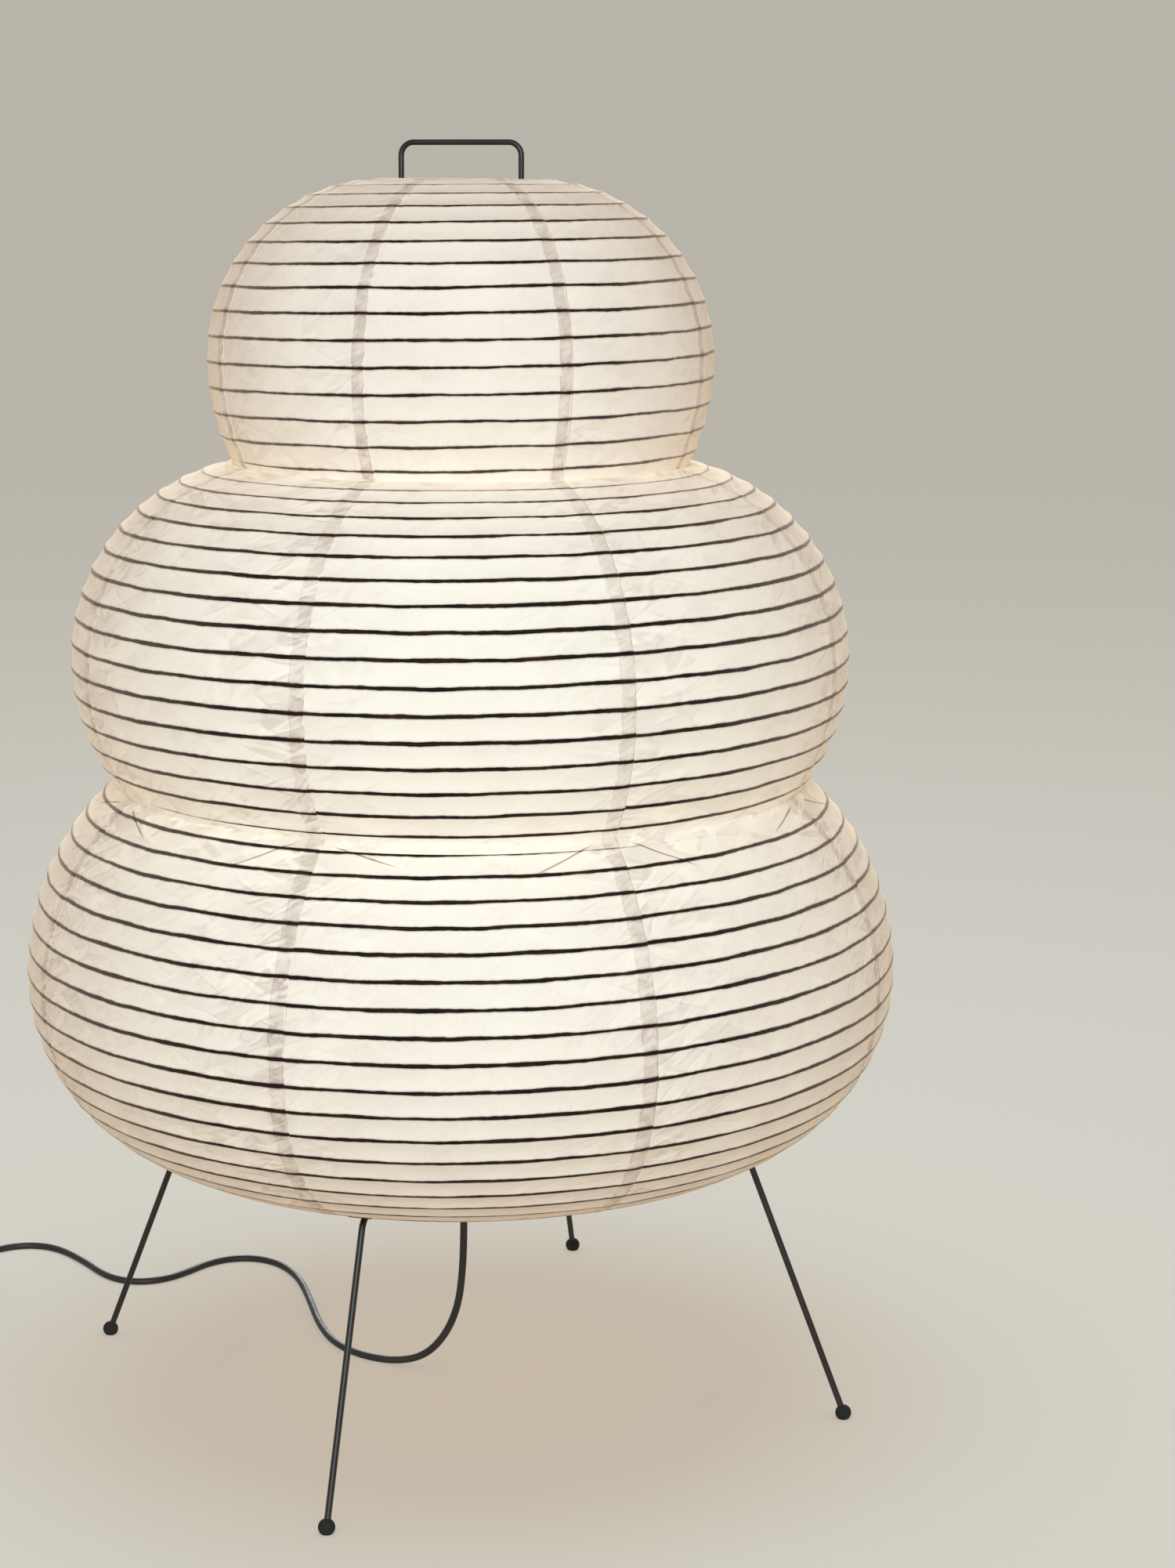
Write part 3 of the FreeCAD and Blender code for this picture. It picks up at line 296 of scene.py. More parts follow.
# %% Form of the paper between the ribs
RIDGE = 0.35 * mm
RIDGE_WIDTH = 1.6 * mm
SAG = 0.9 * mm
LAYER = 0.2 * mm
EDGE_LIFT = 0.04 * mm
PUCKER = 0.22 * mm
PUCKER_REACH = 22 * mm
PUCKER_TURNS = 1.2
PUCKER_ALL_OVER = 0.35
PUCKER_AT_ENDS = 0.5
STEP_WIDTH = 3 * mm
WOUND_TURNS = 0.8
WAVES = 14
WAVE_HEIGHT = 0.3
rng = np.random.default_rng(11)
wave_round = rng.integers(24, 150, WAVES)
wave_up = rng.uniform(-0.9, 0.9, WAVES) * wave_round
wave_phase = rng.uniform(0, 2 * math.pi, WAVES)


def crumple(azimuth, height):
    """Soft wrinkles, mostly between -1 and 1: waves that run round the lamp a whole number of times and lean
    up or down it by their own slopes, added up and divided by the root of their number."""
    lean = height[..., None] / WAVE_HEIGHT * wave_up
    return np.sin(azimuth[..., None] * wave_round + lean + wave_phase).sum(axis=-1) / math.sqrt(WAVES)


def relief(tier, turn, azimuth, radius, height, left, right):
    """How far the paper stands out from the smooth outline. A ridge exp(-(d/width)^2) at distance d from the
    bamboo, less a sag sin^2 between turns, plus puckers near seams and waists, plus the pasted layers: one
    gore's edge lies over the next one's, and tapers down to it."""
    phase = turn - (azimuth - tier["start"]) / (2 * math.pi)
    off = np.abs(phase - np.round(phase)) * RIB_PITCH
    to_end = np.minimum(turn - tier["foot"], tier["head"] - turn)
    wound = smooth(to_end / WOUND_TURNS)
    ridge = RIDGE * np.exp(-(off / RIDGE_WIDTH) ** 2)
    wrinkle = crumple(azimuth, height)
    between = np.sin(math.pi * phase) ** 2
    sag = SAG * between * (0.85 + 0.3 * wrinkle)
    seam = np.minimum(np.abs(left), np.abs(right))
    near = PUCKER_ALL_OVER + (1 - PUCKER_ALL_OVER) * np.exp(-seam / PUCKER_REACH)
    near += PUCKER_AT_ENDS * np.exp(-to_end / PUCKER_TURNS)
    pucker = PUCKER * wrinkle * near * (0.3 + 0.7 * between)
    lap = OVERLAP / 2
    over = LAYER * (1 - smooth((right - lap) / STEP_WIDTH))
    under = LAYER * (1 - smooth((left - lap) / STEP_WIDTH))
    down = (2 * LAYER - EDGE_LIFT) * (1 - smooth((right + lap) / FEATHER))
    return wound * (ridge - sag + pucker) + over - under - down, phase


print(WAVES, "waves of wrinkles")

# %% [markdown]
# The same grid carries what the paper's finish needs to know: how much light falls on each point, how hard
# the strip presses there, how much the paper was handled, and how far the nearest seam, hoop and fold are.

# %% Light on the paper
GLOW_HEIGHT = 0.44
LIGHT_FAR = 4.5
LIGHT_NEAR = 13.0
FACING = 0.65


def light_on(radius, height, slope):
    """Light from the bulb, 0 where little falls on the paper and 1 where most does: the part that comes
    straight falls off as the cosine of its slant over the distance squared, and the rest is thrown about."""
    up = height - GLOW_HEIGHT
    far = np.hypot(radius, up)
    straight = np.maximum(radius * np.cos(slope) + up * np.sin(slope), 0) / far
    return np.clip(((1 - FACING + FACING * straight) / far ** 2 - LIGHT_FAR) / (LIGHT_NEAR - LIGHT_FAR), 0, 1)


# %% Press of the strip, handling and folds
# How hard each tier's strip presses at its foot, at its belly and at its head, which sets how wide and dark
# its painted shadow is
PRESS = ((0.6, 1.0, 1.0), (0.95, 1.0, 0.5), (0.65, 0.72, 0.45))
PRESS_TURNS = 5
# The strip's painted shadow is darkest at the front and the back and paler at the sides, where the strip is
# taken to lie looser
PRESS_FRONT = math.radians(-71.6)
PRESS_LOST = 0.22
# How much each gore and each tier was handled while the shade was made
GORE_HANDLED = (0.4, 0.75, 0.9, 0.6, 0.8, 0.5, 0.75, 1.0)
TIER_HANDLED = (1.0, 0.85, 0.4)
HANDLED_ALL_OVER = 0.15
HANDLED_AT_ENDS = 0.5
CREASED_SIDE = 40 * mm
CREASED_END = 25 * mm
DART_START = 16 * mm
DART_BELOW = 6 * mm
DART_FALL = 0.28
DART_FALL_STEP = 0.09


def pressed(tier, turn, tight):
    """How hard the strip presses on the paper: the belly's value over most of a tier, and a smoothstep from
    it to the tier's own values at its foot and head, less where the strip isn't tight."""
    at_foot, at_belly, at_head = PRESS[tier["number"]]
    foot = at_foot + (at_belly - at_foot) * smooth((turn - tier["foot"]) / PRESS_TURNS)
    head = at_head + (at_belly - at_head) * smooth((tier["head"] - turn) / PRESS_TURNS)
    return np.minimum(foot, head) * (1 - PRESS_LOST + PRESS_LOST * tight)


def handled(tier, number, seam, to_end):
    """How creased the paper is, from 0 to 1: the gore's share times the tier's, times the sum of two parts
    that fall as exp(-d / reach) with the distance d, one from a seam and one from the tier's end."""
    beside = HANDLED_ALL_OVER + (1 - HANDLED_ALL_OVER) * np.exp(-np.abs(seam) / CREASED_SIDE)
    gathered = HANDLED_AT_ENDS * np.exp(-to_end / CREASED_END)
    return np.clip(GORE_HANDLED[number] * TIER_HANDLED[tier["number"]] * (beside + gathered), 0, 1)


def darts(number, seam, below):
    """Distance from the thin folds that start beside the seams under the lower waist and run down and away
    from them, each with one of five falls: (depth - line) x cos(angle of the line)."""
    fall = DART_FALL + DART_FALL_STEP * ((3 * number + np.where(seam > 0, 0, 2)) % 5)
    line = DART_BELOW + fall * (np.abs(seam) - DART_START)
    return (below - line) * np.cos(np.arctan(fall))


# %% One tier of a gore
# How much narrower than the overlap each tier's pasted band is
SEAM_NARROWS = (1.0, 1.05, 1.35)
HOOP_FROM_EDGE = 2.2 * mm
FAR_AWAY = 1.0


def gore_block(tier, number):
    """One tier of a gore: points and outward normals on its grid, and what its finish reads there. Distances
    for the finish are in mm."""
    gore_left = FIRST_SEAM + number * GORE_TURN
    centre = gore_left + GORE_TURN / 2
    rows = row_turns(tier, centre)[:, None]
    share, shift = column_places()
    row_radius = on_skin(tier, rows)[0]
    wide = GORE_TURN + OVERLAP / row_radius
    azimuth = (gore_left - OVERLAP / 2 / row_radius + share * (wide - 2 * SEAM_COLUMNS[-1] / row_radius)
               + shift / row_radius)
    from_ends = np.minimum(rows - tier["foot"], tier["head"] - rows)
    turn = rows + (azimuth - centre) / (2 * math.pi) * smooth(from_ends)
    radius, height, slope = on_skin(tier, turn)
    left, right = radius * (azimuth - gore_left), radius * (gore_left + GORE_TURN - azimuth)
    out, phase = relief(tier, turn, azimuth, radius, height, left, right)
    away, normal = directions(azimuth, slope)
    point = radius[..., None] * away + height[..., None] * UP + out[..., None] * normal
    seam = np.where(left < right, left, -right)
    from_edge = np.minimum(left, right) + OVERLAP / 2
    from_foot, from_head = RIB_PITCH * (turn - tier["foot"]), RIB_PITCH * (tier["head"] - turn)
    tight = np.abs(np.cos(azimuth - PRESS_FRONT))
    nowhere = np.full_like(turn, FAR_AWAY)
    hoop = np.minimum(from_foot if tier is TIERS[0] else nowhere, from_head if tier is TIERS[2] else nowhere)
    dart = darts(number, seam, from_head) if tier is TIERS[0] else nowhere
    return {"point": point, "normal": normal, "phase": phase, "tight": tight, "dart": dart / mm,
            "inside": np.minimum(turn, tier["turns"] - turn),
            "seam": np.abs(seam) / mm * SEAM_NARROWS[tier["number"]],
            "hoop": (hoop - HOOP_FROM_EDGE) / mm,
            "light": light_on(radius, height, slope),
            "press": pressed(tier, turn, tight),
            "handled": handled(tier, number, seam, np.minimum(from_foot, from_head)),
            "thick": PAPER * (THIN_EDGE + (1 - THIN_EDGE) * smooth(from_edge / FEATHER)),
            "across": radius * (azimuth - centre),
            "length": turn * RIB_PITCH + tier["lower"][1]}


def stacked(blocks, key):
    """The rows of all tiers, with the row that two tiers share at a waist taken once."""
    return np.concatenate([block[key][(1 if k else 0):] for k, block in enumerate(blocks)])


def low_and_high(blocks, key):
    """Values at the lower and at the upper row of every strip of faces, taken from the strip's own tier."""
    return np.concatenate([b[key][:-1] for b in blocks]), np.concatenate([b[key][1:] for b in blocks])


# %% Closed sheets
def sheet_faces(rows, columns):
    """Corner numbers of a closed sheet: outer faces, inner faces, and walls along its four edges. The inner
    face's points follow the outer one's."""
    number = np.arange(rows * columns).reshape(rows, columns)
    skin = number.size
    inner = number + skin

    def quads(*corners):
        return np.stack(corners, -1).reshape(-1, 4)

    a, b, c, d = number[:-1, :-1], number[:-1, 1:], number[1:, 1:], number[1:, :-1]
    outside = quads(a, b, c, d)
    inside = quads(a + skin, d + skin, c + skin, b + skin)
    bottom = quads(number[0, :-1], inner[0, :-1], inner[0, 1:], number[0, 1:])
    top = quads(number[-1, :-1], number[-1, 1:], inner[-1, 1:], inner[-1, :-1])
    left = quads(number[:-1, 0], number[1:, 0], inner[1:, 0], inner[:-1, 0])
    right = quads(number[:-1, -1], inner[:-1, -1], inner[1:, -1], number[1:, -1])
    return outside, inside, np.concatenate([bottom, top, left, right])


def new_piece(name, points, faces, smooth_faces):
    """A mesh piece in the lamp's own frame, from arrays of points and faces."""
    mesh = bpy.data.meshes.new(name)
    mesh.from_pydata(points.tolist(), [], [list(face) for face in faces])
    mesh.polygons.foreach_set("use_smooth", smooth_faces)
    mesh.update()
    piece = bpy.data.objects.new(name, mesh)
    bpy.context.collection.objects.link(piece)
    return piece


def point_values(piece, name, values):
    """Keep one number a point on the piece, for its finish to read."""
    attribute = piece.data.attributes.new(name, "FLOAT", "POINT")
    attribute.data.foreach_set("value", values.astype(np.float32).ravel())


def gathers(piece):
    """Hang a piece of the shade on the stand's body and give it a mesh of its own."""
    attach(piece, "stand")
    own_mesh(piece)


def corner_map(piece, name, blocks, first, second):
    """A UV map from two values of the blocks. A strip of faces takes both its rows from its own tier, so
    the map may jump at a waist."""
    ends = zip(low_and_high(blocks, first), low_and_high(blocks, second))
    low, high = (np.stack(pair, -1) for pair in ends)
    a, b, c, d = low[:, :-1], low[:, 1:], high[:, 1:], high[:, :-1]

    def corners(*places):
        return np.stack(places, -2).reshape(-1, 2)

    parts = [corners(a, b, c, d), corners(a, d, c, b), corners(a[0], a[0], b[0], b[0]),
             corners(d[-1], c[-1], c[-1], d[-1]), corners(a[:, 0], d[:, 0], d[:, 0], a[:, 0]),
             corners(b[:, -1], b[:, -1], c[:, -1], c[:, -1])]
    layer = piece.data.uv_layers.new(name=name)
    layer.data.foreach_set("uv", np.concatenate(parts).astype(np.float32).ravel())


def paper_gore(number):
    """One gore as a closed sheet, with the values that its finish reads."""
    blocks = [gore_block(tier, number) for tier in TIERS]
    point, normal = stacked(blocks, "point"), stacked(blocks, "normal")
    outside, inside, walls = sheet_faces(*point.shape[:2])
    inner = point - stacked(blocks, "thick")[..., None] * normal
    points = np.concatenate([point.reshape(-1, 3), inner.reshape(-1, 3)])
    faces = np.concatenate([outside, inside, walls])
    flags = np.arange(len(faces)) < 2 * len(outside)
    piece = new_piece("paper_gore_" + str(number + 1), points, faces, flags)
    corner_map(piece, "skin", blocks, "inside", "phase")
    corner_map(piece, "sheet", blocks, "across", "length")
    for key in ("seam", "hoop", "light", "press", "tight", "handled", "dart"):
        values = stacked(blocks, key)
        point_values(piece, key, np.concatenate([values, values]))
    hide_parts("paper_panel_" + str(number + 1))
    return piece


gores = [paper_gore(number) for number in range(GORES)]
print(GORES, "gores of", len(gores[0].data.polygons), "faces each")

# %% [markdown]
# ## Bamboo strips
# Inside each tier a split strip of bamboo winds up the paper. It is a tube carried along a spiral. Its
# section is a ring of points round the path, spanned by the outward normal and the upward slope, and its
# radius swells a little at the nodes of the bamboo and where the strip was split thick or thin.

# %% Build the strips
RING = 8
RINGS_PER_TURN = 72
STRIP_NAMES = ("bottom", "middle", "top")


def ring_faces(count, ring):
    """Numbers of the points in rings, those of the next point round, and the faces between rings."""
    number = np.arange(count).reshape(-1, ring)
    after = np.roll(number, -1, axis=1)
    return number, after, np.stack([number[:-1], after[:-1], after[1:], number[1:]], -1).reshape(-1, 4)


def bamboo_strip(tier, name):
    """A spiral tube: its centre lies RIB_INSET inside the skin, and its ring of radius s is
    centre + s (cos a x outward + sin a x up the slope)."""
    turn = np.linspace(0, tier["turns"], round(tier["turns"] * RINGS_PER_TURN) + 1)
    azimuth = tier["start"] + 2 * math.pi * turn
    radius, height, slope = on_skin(tier, turn)
    away, outward = directions(azimuth, slope)
    upward = np.cos(slope)[:, None] * UP - np.sin(slope)[:, None] * away
    centre = radius[:, None] * away + height[:, None] * UP - RIB_INSET * outward
    thick = RIB_D / 2 * (0.96 + 0.04 * np.sin(9.7 * azimuth) * np.sin(3.1 * azimuth))
    around = np.linspace(0, 2 * math.pi, RING, endpoint=False)[:, None]
    ring = np.cos(around) * outward[:, None] + np.sin(around) * upward[:, None]
    points = (centre[:, None] + thick[:, None, None] * ring).reshape(-1, 3)
    number, _, sides = ring_faces(len(points), RING)
    caps = [number[0, ::-1].tolist(), number[-1].tolist()]
    piece = new_piece("bamboo_" + name, points, sides.tolist() + caps, np.arange(len(sides) + 2) < len(sides))
    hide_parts("rib_" + name)
    return piece


strips = [bamboo_strip(tier, name) for tier, name in zip(TIERS, STRIP_NAMES)]
for piece in gores + strips:
    gathers(piece)
print("strips with", [len(piece.data.polygons) for piece in strips], "faces")

# %% [markdown]
# ## Bulb
# The glass of a bulb is blown, so its globe runs into its neck without an edge. Its profile is a collar in
# the cap, a hollow curve and a circle. Turning the profile round the lamp's axis gives the glass, and a
# second profile inside it gives its wall.

# %% Build the bulb's glass
GLASS = 0.8 * mm
COLLAR_R = 12.4 * mm
NECK_LEAN = math.radians(14)
GLOBE_R = 30 * mm
GLOBE_ENDS = math.radians(-16)
ROUND_BULB = 72
GLOBE_ROWS = 28
HOLLOW_ROWS = 24
CAP_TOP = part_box("bulb_cap")[1].z
GLASS_FOOT, GLASS_TOP = (corner.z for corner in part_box("bulb_glass"))


def glass_profile(inset):
    """Radius and height, from the collar's foot to the top. From end p to end q with directions u and v, the
    curve is (2t^3 - 3t^2 + 1) p + (t^3 - 2t^2 + t) u + (3t^2 - 2t^3) q + (t^3 - t^2) v."""
    angle = np.linspace(GLOBE_ENDS, math.pi / 2, GLOBE_ROWS)[:, None]
    globe = (GLOBE_R - inset) * np.hstack([np.cos(angle), np.sin(angle)]) + [0, GLASS_TOP - GLOBE_R]
    neck = np.array([COLLAR_R - inset, CAP_TOP])
    reach = np.linalg.norm(globe[0] - neck)
    u = reach * np.array([math.sin(NECK_LEAN), math.cos(NECK_LEAN)])
    v = reach * np.array([-math.sin(GLOBE_ENDS), math.cos(GLOBE_ENDS)])
    t = np.linspace(0, 1, HOLLOW_ROWS, endpoint=False)[:, None]
    hollow = neck + (t ** 3 - 2 * t ** 2 + t) * u + smooth(t) * (globe[0] - neck) + (t ** 3 - t ** 2) * v
    return np.vstack([[neck[0], GLASS_FOOT], hollow, globe])


def blown_glass():
    """The glass: rings of points up the outer profile and its top point, then the same for the inner one."""
    around = np.linspace(0, 2 * math.pi, ROUND_BULB, endpoint=False)
    walls = []
    for inset in (0, GLASS):
        radius, height = glass_profile(inset).T[:, :, None]
        rings = np.stack([radius * np.cos(around), radius * np.sin(around), height + 0 * around], -1)
        walls.append(np.vstack([rings[:-1].reshape(-1, 3), rings[-1, :1]]))
    top, inner = len(walls[0]) - 1, len(walls[0])
    number, after, sides = ring_faces(top, ROUND_BULB)
    cap = np.stack([number[-1], after[-1], np.full(ROUND_BULB, top)], -1)
    rim = np.stack([number[0], number[0] + inner, after[0] + inner, after[0]], -1)
    faces = sides.tolist() + cap.tolist()
    faces += (sides[:, ::-1] + inner).tolist() + (cap[:, ::-1] + inner).tolist()
    flags = np.arange(len(faces) + len(rim)) < len(faces)
    piece = new_piece("blown_bulb", np.vstack(walls), faces + rim.tolist(), flags)
    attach(piece, "bulb")
    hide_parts("bulb_glass")
    return piece


bulb = blown_glass()
print("bulb of", len(bulb.data.polygons), "faces")

# %% [markdown]
# ## Making finishes
# Colours are written as the hex values that a colour picker shows, and turned to linear light for the
# shader. One small function adds a node, sets it up and links it, and each finish gives it its own tree of
# nodes, so the finishes below read as lists of steps.

# %% Tools for finishes
def linear(code):
    """An sRGB hex colour as linear red, green, blue and alpha."""
    channels = np.array([int(code[k:k + 2], 16) for k in (1, 3, 5)]) / 255
    light = np.where(channels <= 0.04045, channels / 12.92, ((channels + 0.055) / 1.055) ** 2.4)
    return (*light.tolist(), 1.0)


def feed(tree, node, inputs):
    """Give each socket of a node a value, another's output, or another node's first output in use."""
    for socket, value in inputs.items():
        if isinstance(value, bpy.types.Node):
            value = next(output for output in value.outputs if output.enabled)
        if isinstance(value, bpy.types.NodeSocket):
            tree.links.new(value, node.inputs[socket])
        else:
            node.inputs[socket].default_value = value


def add_node(tree, kind, inputs=None, **settings):
    """Add one node. Settings are its properties, and inputs are fed to its sockets."""
    node = tree.nodes.new("ShaderNode" + kind)
    for name, value in settings.items():
        setattr(node, name, value)
    feed(tree, node, inputs or {})
    return node


def new_finish(name, **sockets):
    """A material with one Principled shader, whose even values are set on the shader's own sockets."""
    material = bpy.data.materials.new(name)
    material.use_nodes = True
    shader = material.node_tree.nodes["Principled BSDF"]
    for socket, value in sockets.items():
        shader.inputs[socket.replace("_", " ")].default_value = value
    return material.node_tree, shader, material


# %% [markdown]
# ## Lit paper
# The paper is thin and white, made of long mulberry fibres, and the bulb shines through it. Real light
# through paper would need many samples, so the paper glows by itself instead, most where the bulb is near
# and shines straight at it. The finish is made in steps. Each step works out how much of that light one
# thing holds back: the bamboo behind the paper, the pasted seams, the creases, the fibres.

# %% Colours of the lit paper
PAPER_WHITE = linear("#E2E5DC")
GLOW_NEAR = linear("#FFD8AC")
GLOW_FAR = linear("#E2A96F")
GLOW_STRENGTH = 0.39
LOST_LIGHT = linear("#744529")
# Colours the paper takes in the painted shadow of the bamboo behind it, mixed in streaks
STRIP_SHADOW_DARK = linear("#0D0906")
STRIP_SHADOW_BROWN = linear("#3A2412")

# %% [markdown]
# The bamboo behind the paper throws a dark line on the lit paper. That shadow is painted into the paper's
# glow and colour. The bamboo is split by hand, so its line wanders, swells and has a rough edge. It is widest
# and darkest where the strip presses on the paper, thin where the paper turns away, and brown at the sides,
# where the strip lies loose. A line is a distance turned into a soft step: that from the strip, taken from
# half the strip's width.

# %% Painted shadow lines of the bamboo
PITCH_MM = RIB_PITCH / mm
LINE_HALF_WIDTH = (0.9, 1.5)
# How much of the glow passes where the strip lies loose
LOOSE_GLOW = 0.28


def strip_shadows(add, sheet):
    """How dark the painted shadow of the bamboo is and how dark the fringe of painted shade beside it, from 0
    to 1, and the distance from its middle in mm."""
    inside, phase, _ = add("SeparateXYZ", {0: add("UVMap", uv_map="skin")}).outputs
    wander = add("TexNoise", {"Vector": sheet, "Scale": 1 / (45 * mm), "Detail": 3.0}, noise_dimensions="2D")
    shift = add("MapRange", {0: wander, 1: 0.2, 2: 0.8, 3: -0.035, 4: 0.035})
    place = add("Math", {0: phase, 1: shift}, operation="ADD")
    turn_off = add("Math", {0: place, 1: 0.5}, operation="PINGPONG")
    off = add("Math", {0: turn_off, 1: PITCH_MM}, operation="MULTIPLY")
    swell = add("TexNoise", {"Vector": sheet, "Scale": 1 / (60 * mm), "Detail": 4.0}, noise_dimensions="2D")
    half = add("MapRange", {0: swell, 1: 0.3, 2: 0.7, 3: LINE_HALF_WIDTH[0], 4: LINE_HALF_WIDTH[1]})
    press, tight = (add("Attribute", attribute_name=name).outputs["Fac"] for name in ("press", "tight"))
    rough = add("TexNoise", {"Vector": sheet, "Scale": 1 / (7 * mm), "Detail": 2.0}, noise_dimensions="2D")
    ragged = add("MapRange", {0: rough, 1: 0.3, 2: 0.7, 3: -0.14, 4: 0.14})
    edge = add("Math", {0: half, 1: press, 2: ragged}, operation="MULTIPLY_ADD")
    within = add("Math", {0: edge, 1: off}, operation="SUBTRACT")
    line = add("MapRange", {0: within, 1: -0.4, 2: 0.25}, interpolation_type="SMOOTHSTEP")
    faded = add("MapRange", {0: press, 1: 0.45, 2: 0.7, 3: 0.7, 4: 1.0})
    loose = add("MapRange", {0: tight, 1: 0.15, 2: 0.85, 3: 1 - LOOSE_GLOW, 4: 1.0})
    faded = add("Math", {0: faded, 1: loose}, operation="MULTIPLY")
    wound = add("MapRange", {0: inside, 1: -0.004, 2: 0.004})
    lasting = add("Math", {0: faded, 1: wound}, operation="MULTIPLY")
    fringe = add("MapRange", {0: within, 1: -1.3, 2: -0.1}, interpolation_type="SMOOTHSTEP")
    line, fringe = (add("Math", {0: part, 1: lasting}, operation="MULTIPLY") for part in (line, fringe))
    return line, fringe, off


# %% [markdown]
# Where one gore overlaps the next, the light passes two layers and the paste between them. The band's edges
# waver as they were torn and laid by hand, and the damp paper dried in small slanting tucks.

# %% Pasted seams
def pasted_seams(add, sheet, seam, off):
    """Light held back at a seam, from 0 to 1. The band is where the distance from the seam, shifted by a
    noise of 11 mm, is less than half an overlap."""
    waver = add("TexNoise", {"Vector": sheet, "Scale": 1 / (11 * mm), "Detail": 3.0}, noise_dimensions="2D")
    shift = add("MapRange", {0: waver, 1: 0.25, 2: 0.75, 3: -1.2, 4: 1.2})
    side = add("Math", {0: seam, 1: shift}, operation="ADD")
    band = add("MapRange", {0: side, 1: 5.7, 2: 4.4})
    paste = add("TexNoise", {"Vector": sheet, "Scale": 1 / (9 * mm), "Detail": 4.0}, noise_dimensions="2D")
    mottle = add("MapRange", {0: paste, 1: 0.3, 2: 0.7, 3: 0.08, 4: 0.27})
    slanted = add("Mapping", {0: sheet, 2: (0, 0, 0.6), 3: (9 * mm, 2.2 * mm, 1)}, vector_type="TEXTURE")
    tuck = add("TexNoise", {"Vector": slanted, "Scale": 1.0, "Detail": 2.0}, noise_dimensions="2D")
    tucked = add("MapRange", {0: tuck, 1: 0.5, 2: 0.64, 3: 0.0, 4: 0.1})
    pinch = add("MapRange", {0: off, 1: 4.5, 2: 0.5, 3: 0.0, 4: 0.14}, interpolation_type="SMOOTHSTEP")
    layered = add("Math", {0: mottle, 1: tucked}, operation="ADD")
    layered = add("Math", {0: layered, 1: pinch}, operation="ADD")
    banded = add("Math", {0: band, 1: layered}, operation="MULTIPLY")
    from_edge = add("Math", {0: side, 1: 5.0, 2: 0.35}, operation="COMPARE")
    gaps = add("TexNoise", {"Vector": sheet, "Scale": 1 / (16 * mm), "Detail": 2.0}, noise_dimensions="2D")
    broken = add("MapRange", {0: gaps, 1: 0.4, 2: 0.58, 3: 0.0, 4: 0.25})
    return add("Math", {0: from_edge, 1: broken, 2: banded}, operation="MULTIPLY_ADD")


# %% [markdown]
# Handled paper is full of small folds, most of them beside the seams, where they slant up and away.
# Stretched noise has long contour lines, and a fold is drawn along one of them: dark where the paper turns
# away from the bulb, and bright just beside it. Other noise breaks the lines into short strokes. Fibres are
# stretched noise, upright, in patches.

# %% Creases and fibres
# Slant of each set of folds, their length and spacing, and where the pattern starts
CREASES = ((0.42, 62 * mm, 13 * mm, 0.0), (-0.22, 75 * mm, 16 * mm, 7.0), (0.6, 55 * mm, 15 * mm, 13.0))
FOLD_SPAN = 0.1
SOFT_FOLD = 1.2
CREASE_SHADE = 0.3


def creased(add, sheet):
    """Light and shade of the folds, from about -1 to 1: sin of the noise about its middle, over one whole
    wave and 0 beyond, plus a soft part that follows the noise itself, less an even shade."""
    breaks = add("TexNoise", {"Vector": sheet, "Scale": 1 / (24 * mm), "Detail": 1.0}, noise_dimensions="2D")
    strokes = add("SeparateColor", {0: breaks.outputs[1]})
    total = -CREASE_SHADE
    for k, (slant, length, spacing, start) in enumerate(CREASES):
        place = add("Mapping", {0: sheet, 1: (start, start, 0), 2: (0, 0, slant), 3: (length, spacing, 1)},
                    vector_type="TEXTURE")
        field = add("TexNoise", {"Vector": place, "Scale": 1.0, "Detail": 1.0}, noise_dimensions="2D")
        wave = add("MapRange", {0: field, 1: 0.5 - FOLD_SPAN, 2: 0.5 + FOLD_SPAN, 3: -math.pi, 4: math.pi})
        fold = add("Math", {0: wave}, operation="SINE")
        shown = add("MapRange", {0: strokes.outputs[k], 1: 0.44, 2: 0.6})
        total = add("Math", {0: fold, 1: shown, 2: total}, operation="MULTIPLY_ADD")
        lean = add("Math", {0: field, 1: 0.5}, operation="SUBTRACT")
        total = add("Math", {0: lean, 1: SOFT_FOLD, 2: total}, operation="MULTIPLY_ADD")
    share = add("Attribute", attribute_name="handled").outputs["Fac"]
    return add("Math", {0: total, 1: share}, operation="MULTIPLY")


def fibrous(add, sheet):
    """Upright fibres, from 0 to 1, 1.4 mm wide and 9 mm long: coarser than real ones, so that they show. They
    come in patches of 40 mm."""
    place = add("Mapping", {0: sheet, "Scale": (1 / (1.4 * mm), 1 / (9 * mm), 1)})
    fibre = add("TexNoise", {"Vector": place, "Scale": 1.0, "Detail": 3.0}, noise_dimensions="2D")
    patch = add("TexNoise", {"Vector": sheet, "Scale": 1 / (40 * mm), "Detail": 2.0}, noise_dimensions="2D")
    showing = add("MapRange", {0: patch, 1: 0.4, 2: 0.65, 3: 0.2, 4: 1.0})
    streak = add("MapRange", {0: fibre, 1: 0.4, 2: 0.75})
    return add("Math", {0: streak, 1: showing}, operation="MULTIPLY")


# %% [markdown]
# The steps meet here. The light held back is added up, and tints the glow towards brown as it dims it, and
# the creases lighten and darken it. Both go into the paper's own colour too, which studio light falls on:
# fibres and paste as colour, the rest as painted shade and highlight. A sheen stands for the fuzz of fibres,
# which is palest where the paper is seen edge on.

# %% Finish of the lit paper
CREASE_LOSS = 0.21
CREASE_GAIN = 0.09
FIBRE_LOSS = 0.05
FRINGE_LOSS = 0.3
FOLD_LOSS = 0.6


